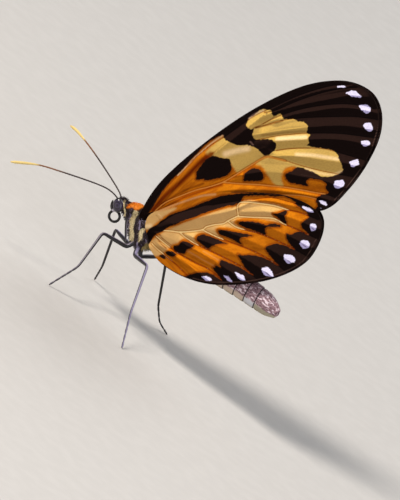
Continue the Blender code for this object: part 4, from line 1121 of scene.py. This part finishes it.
def layered(tree, base, layers):
    """Paints colours over each other: a field, where it starts, where it is full, a colour, a blend."""
    for field, low, high, colour, *blend in layers:
        share = node(tree, "MapRange", {0: field, 1: low, 2: high}, interpolation_type="SMOOTHSTEP")
        base = node(tree, "Mix", {0: share, 6: base, 7: colour},
                    data_type="RGBA", blend_type=blend[0] if blend else "MIX").outputs[2]
    return base


def wing_material(name, ground, deep, pale, vein, pale_over_edging):
    """Overlapping chitin scales: a dull velvet with ragged colour edges along the scale rows, with painted
    highlights on the pleats' upper sides and painted shade on their lower sides.
    """
    made, tree, surface = new_material(name)
    flow = attribute(tree, "flow", "Vector")
    rows = node(tree, "VectorMath", {0: flow, 1: (0.4, 1.8, 1.0)}, operation="MULTIPLY")
    # Scales are 0.1 mm wide. So that they show, they are drawn 0.14 mm wide about 20 mm from the
    # root, narrower nearer to it and wider towards the rim.
    scales = node(tree, "TexVoronoi", {"Vector": rows, "Scale": 7.0}, voronoi_dimensions="2D")
    streaks = node(tree, "TexNoise", {"Vector": rows, "Scale": 0.8, "Detail": 4.0},
                   noise_dimensions="2D")
    ragged = node(tree, "TexNoise", {"Vector": rows, "Scale": 4.5, "Detail": 3.0},
                  noise_dimensions="2D")
    edge = node(tree, "Math", {0: ragged, 1: 0.3, 2: -0.15}, operation="MULTIPLY_ADD")
    fields = {}
    for key in ("black", "pale", "white", "edging"):
        fields[key] = node(tree, "Math", {0: attribute(tree, key), 1: edge})
    for key in ("vein", "pale_vein", "line", "edge"):
        fields["no_" + key] = node(tree, "Math", {0: attribute(tree, key), 1: -1.0},
                                   operation="MULTIPLY")
    lit = attribute(tree, "lit")
    line = attribute(tree, "line")
    edging = [(fields["edging"], -0.34, -0.1, linear("8E4607"))]
    chalk = [(fields["pale"], -0.22, 0.25, linear(pale))]
    colour = layered(tree, linear(ground), [(streaks, 0.42, 0.72, linear(deep))])
    colour = layered(tree, colour, edging + chalk if pale_over_edging else chalk + edging)
    colour = layered(tree, colour, [
        # The fine lines' lightening and darkening: scale lines with painted highlights and painted shade
        (line, 0.05, 0.9, linear("E6C492")),
        (fields["no_line"], 0.05, 0.95, linear("8E5A2C"), "MULTIPLY"),
        (fields["no_vein"], -0.1, -0.03, linear("CFA078"), "MULTIPLY"),
        # Painted highlight on the pleats' upper sides
        (lit, 0.35, 1.3, linear("FFF1D8"), "SOFT_LIGHT"),
        # Painted shade beside the raised pale veins
        (fields["no_pale_vein"], -0.26, -0.14, linear("DCC0A0"), "MULTIPLY"),
    ])
    # Painted shade on the pleats' lower sides and painted light on their upper sides
    shade = node(tree, "MapRange", {0: lit, 1: -0.7, 2: 0.7, 3: 0.72, 4: 1.06})
    colour = node(tree, "Mix", {0: 1.0, 6: colour, 7: shade},
                  data_type="RGBA", blend_type="MULTIPLY").outputs[2]
    colour = layered(tree, colour, [(fields["no_pale_vein"], -0.11, -0.05, linear(vein))])
    # In the black, the browner bands on the pleats' upper sides are painted highlight, and the lighter fine
    # lines are partly painted highlight
    black = layered(tree, linear("100807"), [
        (lit, -0.1, 0.7, linear("281915")), (fields["no_vein"], -0.12, -0.04, linear("0A0505")),
        (line, 0.15, 0.6, linear("5E463E")),
    ])
    # On the white spots, the lighter upper parts are painted highlight and the darker parts along the fold
    # lines are painted shade
    white = layered(tree, linear("A59DC4"), [
        (lit, -0.15, 0.25, linear("E2DCF6")), (fields["no_line"], 0.1, 0.4, linear("6E6484")),
    ])
    colour = layered(tree, colour, [
        (fields["black"], -0.06, 0.06, black), (fields["white"], -0.02, 0.07, white),
        (fields["no_edge"], -0.12, -0.06, linear("1A100D")),
    ])
    grain = node(tree, "MapRange", {0: scales, 1: 0.0, 2: 0.7, 3: 1.06, 4: 0.9})
    colour = node(tree, "Mix", {0: 1.0, 6: colour, 7: grain},
                  data_type="RGBA", blend_type="MULTIPLY").outputs[2]
    bump = node(tree, "Bump", {"Height": scales, "Strength": 0.3, "Distance": 0.00002})
    set_inputs(tree, surface, {"Base Color": colour, "Normal": bump, "Roughness": 0.6,
                               "Specular IOR Level": 0.02})
    return made


def body_material(name, grain_scale):
    """Hair-like scales over horn: matt black-brown with cream, orange and lilac marks, the lilac being
    lilac scales with a painted sheen.
    """
    made, tree, surface = new_material(name)
    place = node(tree, "TexCoord").outputs["Object"]
    noise = node(tree, "TexNoise", {"Vector": place, "Scale": 2500.0, "Detail": 3.0})
    hairs = node(tree, "TexNoise", {"Vector": place, "Scale": grain_scale, "Detail": 2.0})
    edge = node(tree, "Math", {0: noise, 1: 0.5}, operation="SUBTRACT")
    edge = node(tree, "Math", {0: edge, 1: 0.3}, operation="MULTIPLY")
    fields = {}
    for key in ("cream", "orange", "olive", "tail"):
        fields[key] = node(tree, "Math", {0: attribute(tree, key), 1: edge})
    low = node(tree, "Math", {0: attribute(tree, "height"), 1: -1.0}, operation="MULTIPLY")
    low = node(tree, "Math", {0: low, 1: edge})
    places = attribute(tree, "joint")
    joint = node(tree, "Math", {0: places, 1: 1.0}, operation="FRACT")
    cream = layered(tree, linear("BFAB7A"), [(hairs, 0.4, 0.58, linear("ECDDB4"))])
    thorax = layered(tree, linear("1E1415"), [
        # The lilac speckles and streaks are lilac scales with a painted sheen
        (hairs, 0.46, 0.66, linear("43343A")), (noise, 0.57, 0.7, linear("6A5C72")),
        (attribute(tree, "lilac"), 0.3, 0.9, linear("9C90AC")),
        (fields["olive"], -0.05, 0.1, linear("9C8A55")),
        (fields["cream"], -0.05, 0.08, cream),
        (fields["orange"], -0.05, 0.1, linear("E0820F")),
    ])
    lengthwise = node(tree, "VectorMath", {0: place, 1: (0.5, 1.3, 1.3)},
                      operation="MULTIPLY")
    glints = node(tree, "TexNoise", {"Vector": lengthwise, "Scale": 3200.0, "Detail": 3.0})
    belly = layered(tree, linear("C8B3A0"), [
        (places, 7.95, 8.05, linear("CCCACE")), (places, 8.95, 9.05, linear("A69D88")),
        (low, 0.78, 0.95, linear("877650")),
    ])
    tail = layered(tree, linear("6A4C53"), [
        (hairs, 0.42, 0.58, linear("A8868C")), (glints, 0.54, 0.63, linear("E6D2D8")),
        (low, 0.36, 0.48, belly), (joint, 0.86, 0.96, linear("1E1416")),
    ])
    colour = node(tree, "Mix", {0: fields["tail"], 6: thorax, 7: tail},
                  data_type="RGBA").outputs[2]
    bump = node(tree, "Bump", {"Height": hairs, "Strength": 0.6, "Distance": 0.00004})
    set_inputs(tree, surface, {"Base Color": colour, "Normal": bump, "Roughness": 0.6,
                               "Specular IOR Level": 0.25, "Sheen Weight": 0.08, "Sheen Roughness": 0.35})
    return made


def eye_material():
    """A compound eye: a glassy dark dome of fine facets with faint rings."""
    made, tree, surface = new_material("compound_eye_glassy")
    place = node(tree, "TexCoord").outputs["Object"]
    ringwise = attribute(tree, "ringwise")
    wave = node(tree, "Math", {0: ringwise, 1: EYE_RING_RATE}, operation="MULTIPLY")
    wave = node(tree, "Math", {0: wave}, operation="SINE")
    colour = layered(tree, linear("342B42"), [
        (wave, -0.2, 0.9, linear("15101A")), (ringwise, 0.6, 0.9, linear("0C080C")),
    ])
    # Facets are 0.025 mm across; they are drawn 0.05 mm across.
    facets = node(tree, "TexVoronoi", {"Vector": place, "Scale": 20000.0})
    bump = node(tree, "Bump", {"Height": facets, "Strength": 0.25, "Distance": 0.00001})
    set_inputs(tree, surface, {"Base Color": colour, "Normal": bump, "Roughness": 0.3,
                               "Coat Weight": 0.3, "Coat Roughness": 0.12})
    return made


def limb_material(name, layers, ground, roughness):
    """Horn with a thin coat of scales, banded along its length; on legs and tongue the band along the upper
    side is a painted highlight.
    """
    made, tree, surface = new_material(name)
    place = node(tree, "TexCoord").outputs["Object"]
    noise = node(tree, "TexNoise", {"Vector": place, "Scale": 9000.0, "Detail": 2.0})
    edge = node(tree, "Math", {0: noise, 1: 0.5}, operation="SUBTRACT")
    painted = []
    for field, low, high, code in layers:
        wavy = node(tree, "Math", {0: edge, 1: 0.25 * abs(high - low), 2: attribute(tree, field)},
                    operation="MULTIPLY_ADD")
        painted.append((wavy, low, high, linear(code)))
    colour = layered(tree, linear(ground), painted)
    bump = node(tree, "Bump", {"Height": noise, "Strength": 0.4, "Distance": 0.00002})
    set_inputs(tree, surface, {"Base Color": colour, "Normal": bump, "Roughness": roughness})
    return made


# Floor, light and camera

def build_stage():
    """Matt paper: an even, pale ground that takes a soft shadow."""
    deselect()
    bpy.ops.mesh.primitive_plane_add(size=FLOOR_SIZE)
    floor = new_primitive("floor")
    made, tree, surface = new_material("matt_pale_paper")
    place = node(tree, "TexCoord").outputs["Object"]
    noise = node(tree, "TexNoise", {"Vector": place, "Scale": 400.0})
    colour = layered(tree, linear("BDBAB6"), [(noise, 0.3, 0.8, linear("C1BEBA"))])
    set_inputs(tree, surface, {"Base Color": colour, "Roughness": 0.9})
    floor.data.materials.append(made)
    floor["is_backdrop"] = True


def add_light(name, place, size, power, colour):
    data = bpy.data.lights.new(name, "AREA")
    data.shape = "DISK"
    data.size = size
    data.energy = power
    data.color = linear(colour)[:3]
    lamp = bpy.data.objects.new(name, data)
    lamp.location = place
    aim = Vector((0.0, 0.0, 0.02)) - Vector(place)
    lamp.rotation_euler = aim.to_track_quat("-Z", "Y").to_euler()
    bpy.context.scene.collection.objects.link(lamp)


def light_scene():
    add_light("key", (-0.25, -0.23, 0.43), 0.14, 3.0, "FFF8F0")
    add_light("fill", (0.35, -0.35, 0.2), 0.4, 0.8, "F2F5FF")
    add_light("back", (0.1, 0.4, 0.35), 0.4, 1.2, "FFFFFF")
    world = bpy.data.worlds.new("studio")
    world.use_nodes = True
    background = world.node_tree.nodes["Background"]
    background.inputs["Color"].default_value = linear("F0F2F6")
    background.inputs["Strength"].default_value = 0.35
    bpy.context.scene.world = world
    bpy.context.scene.view_settings.view_transform = "Standard"


def aim_camera():
    upright = Matrix.Rotation(math.pi / 2 - CAMERA_RISE, 4, "X")
    facing = Matrix.Rotation(CAMERA_TURN, 4, "Z") @ upright @ Matrix.Rotation(CAMERA_ROLL, 4, "Z")
    data = bpy.data.cameras.new("camera")
    data.lens = LENS
    data.sensor_fit = "VERTICAL"
    data.sensor_height = SENSOR_HEIGHT
    data.clip_start = 0.01
    camera = bpy.data.objects.new("camera", data)
    place = (Vector(CAMERA_TARGET) + facing.col[2].to_3d() * CAMERA_DISTANCE) * MM
    camera.matrix_world = Matrix.Translation(place) @ facing
    bpy.context.scene.collection.objects.link(camera)
    bpy.context.scene.camera = camera


def write_sizes():
    """Works out the solids' box and the dressed butterfly's box."""
    boxes = (CAD_BOX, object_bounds())
    [[[float(v) for v in corner] for corner in box] for box in boxes]


def build_butterfly():
    fore_scales = wing_material("wing_scales_fore", "BC690C", "9A5008", "BC9850", "B8742F", True)
    hind_scales = wing_material("wing_scales_hind", "BC680D", "A45708", "CDA063", "DDBD80", False)
    build_wing("forewing", fore_y, fore_scales)
    build_wing("hindwing", hind_y, hind_scales)
    tree = body_skin(body_material("body_scales_short", 7000.0))
    coat(tree, body_material("body_hair_tufts", 9000.0))
    # The lilac-grey along the legs' upper sides is lilac-grey scales with a painted highlight
    scaled_legs_top_highlight = limb_material("leg_horn_scaled_top_highlight", [("upper", 0.8, 1.0, "6A6070")], "120D0D", 0.4)
    lilac_legs_top_highlight = limb_material("leg_horn_lilac_scaled_top_highlight", [("upper", 0.4, 1.0, "8C84A2")], "1A1418", 0.4)
    build_head({
        "eye": eye_material(),
        "palp": limb_material("palp_scales", [("along", 0.36, 0.46, "14100F")], "B7B1BC", 0.6),
        "feeler": limb_material("feeler_horn", [
            ("along", 0.5, 0.66, "7A4A20"), ("along", 0.74, 0.8, "E0C478")], "2A1911", 0.45),
        # The tongue's lighter upper side is a painted highlight
        "tongue": limb_material("tongue_black_horn_top_highlight", [("upper", 0.3, 1.0, "2A2224")], "0F0B0B", 0.2),
    })
    for name, points in LEGS.items():
        leg(name, points, lilac_legs_top_highlight if name in LILAC_LEGS else scaled_legs_top_highlight)
    for name, side in (("foreleg_left", -1), ("foreleg_right", 1)):
        path = [(x, side * y, z) for x, y, z in FORELEG]
        limb(name + "_scales", path, FORELEG_RADII, 0.08, scaled_legs_top_highlight, name)


build_butterfly()
build_stage()
light_scene()
aim_camera()
write_sizes()
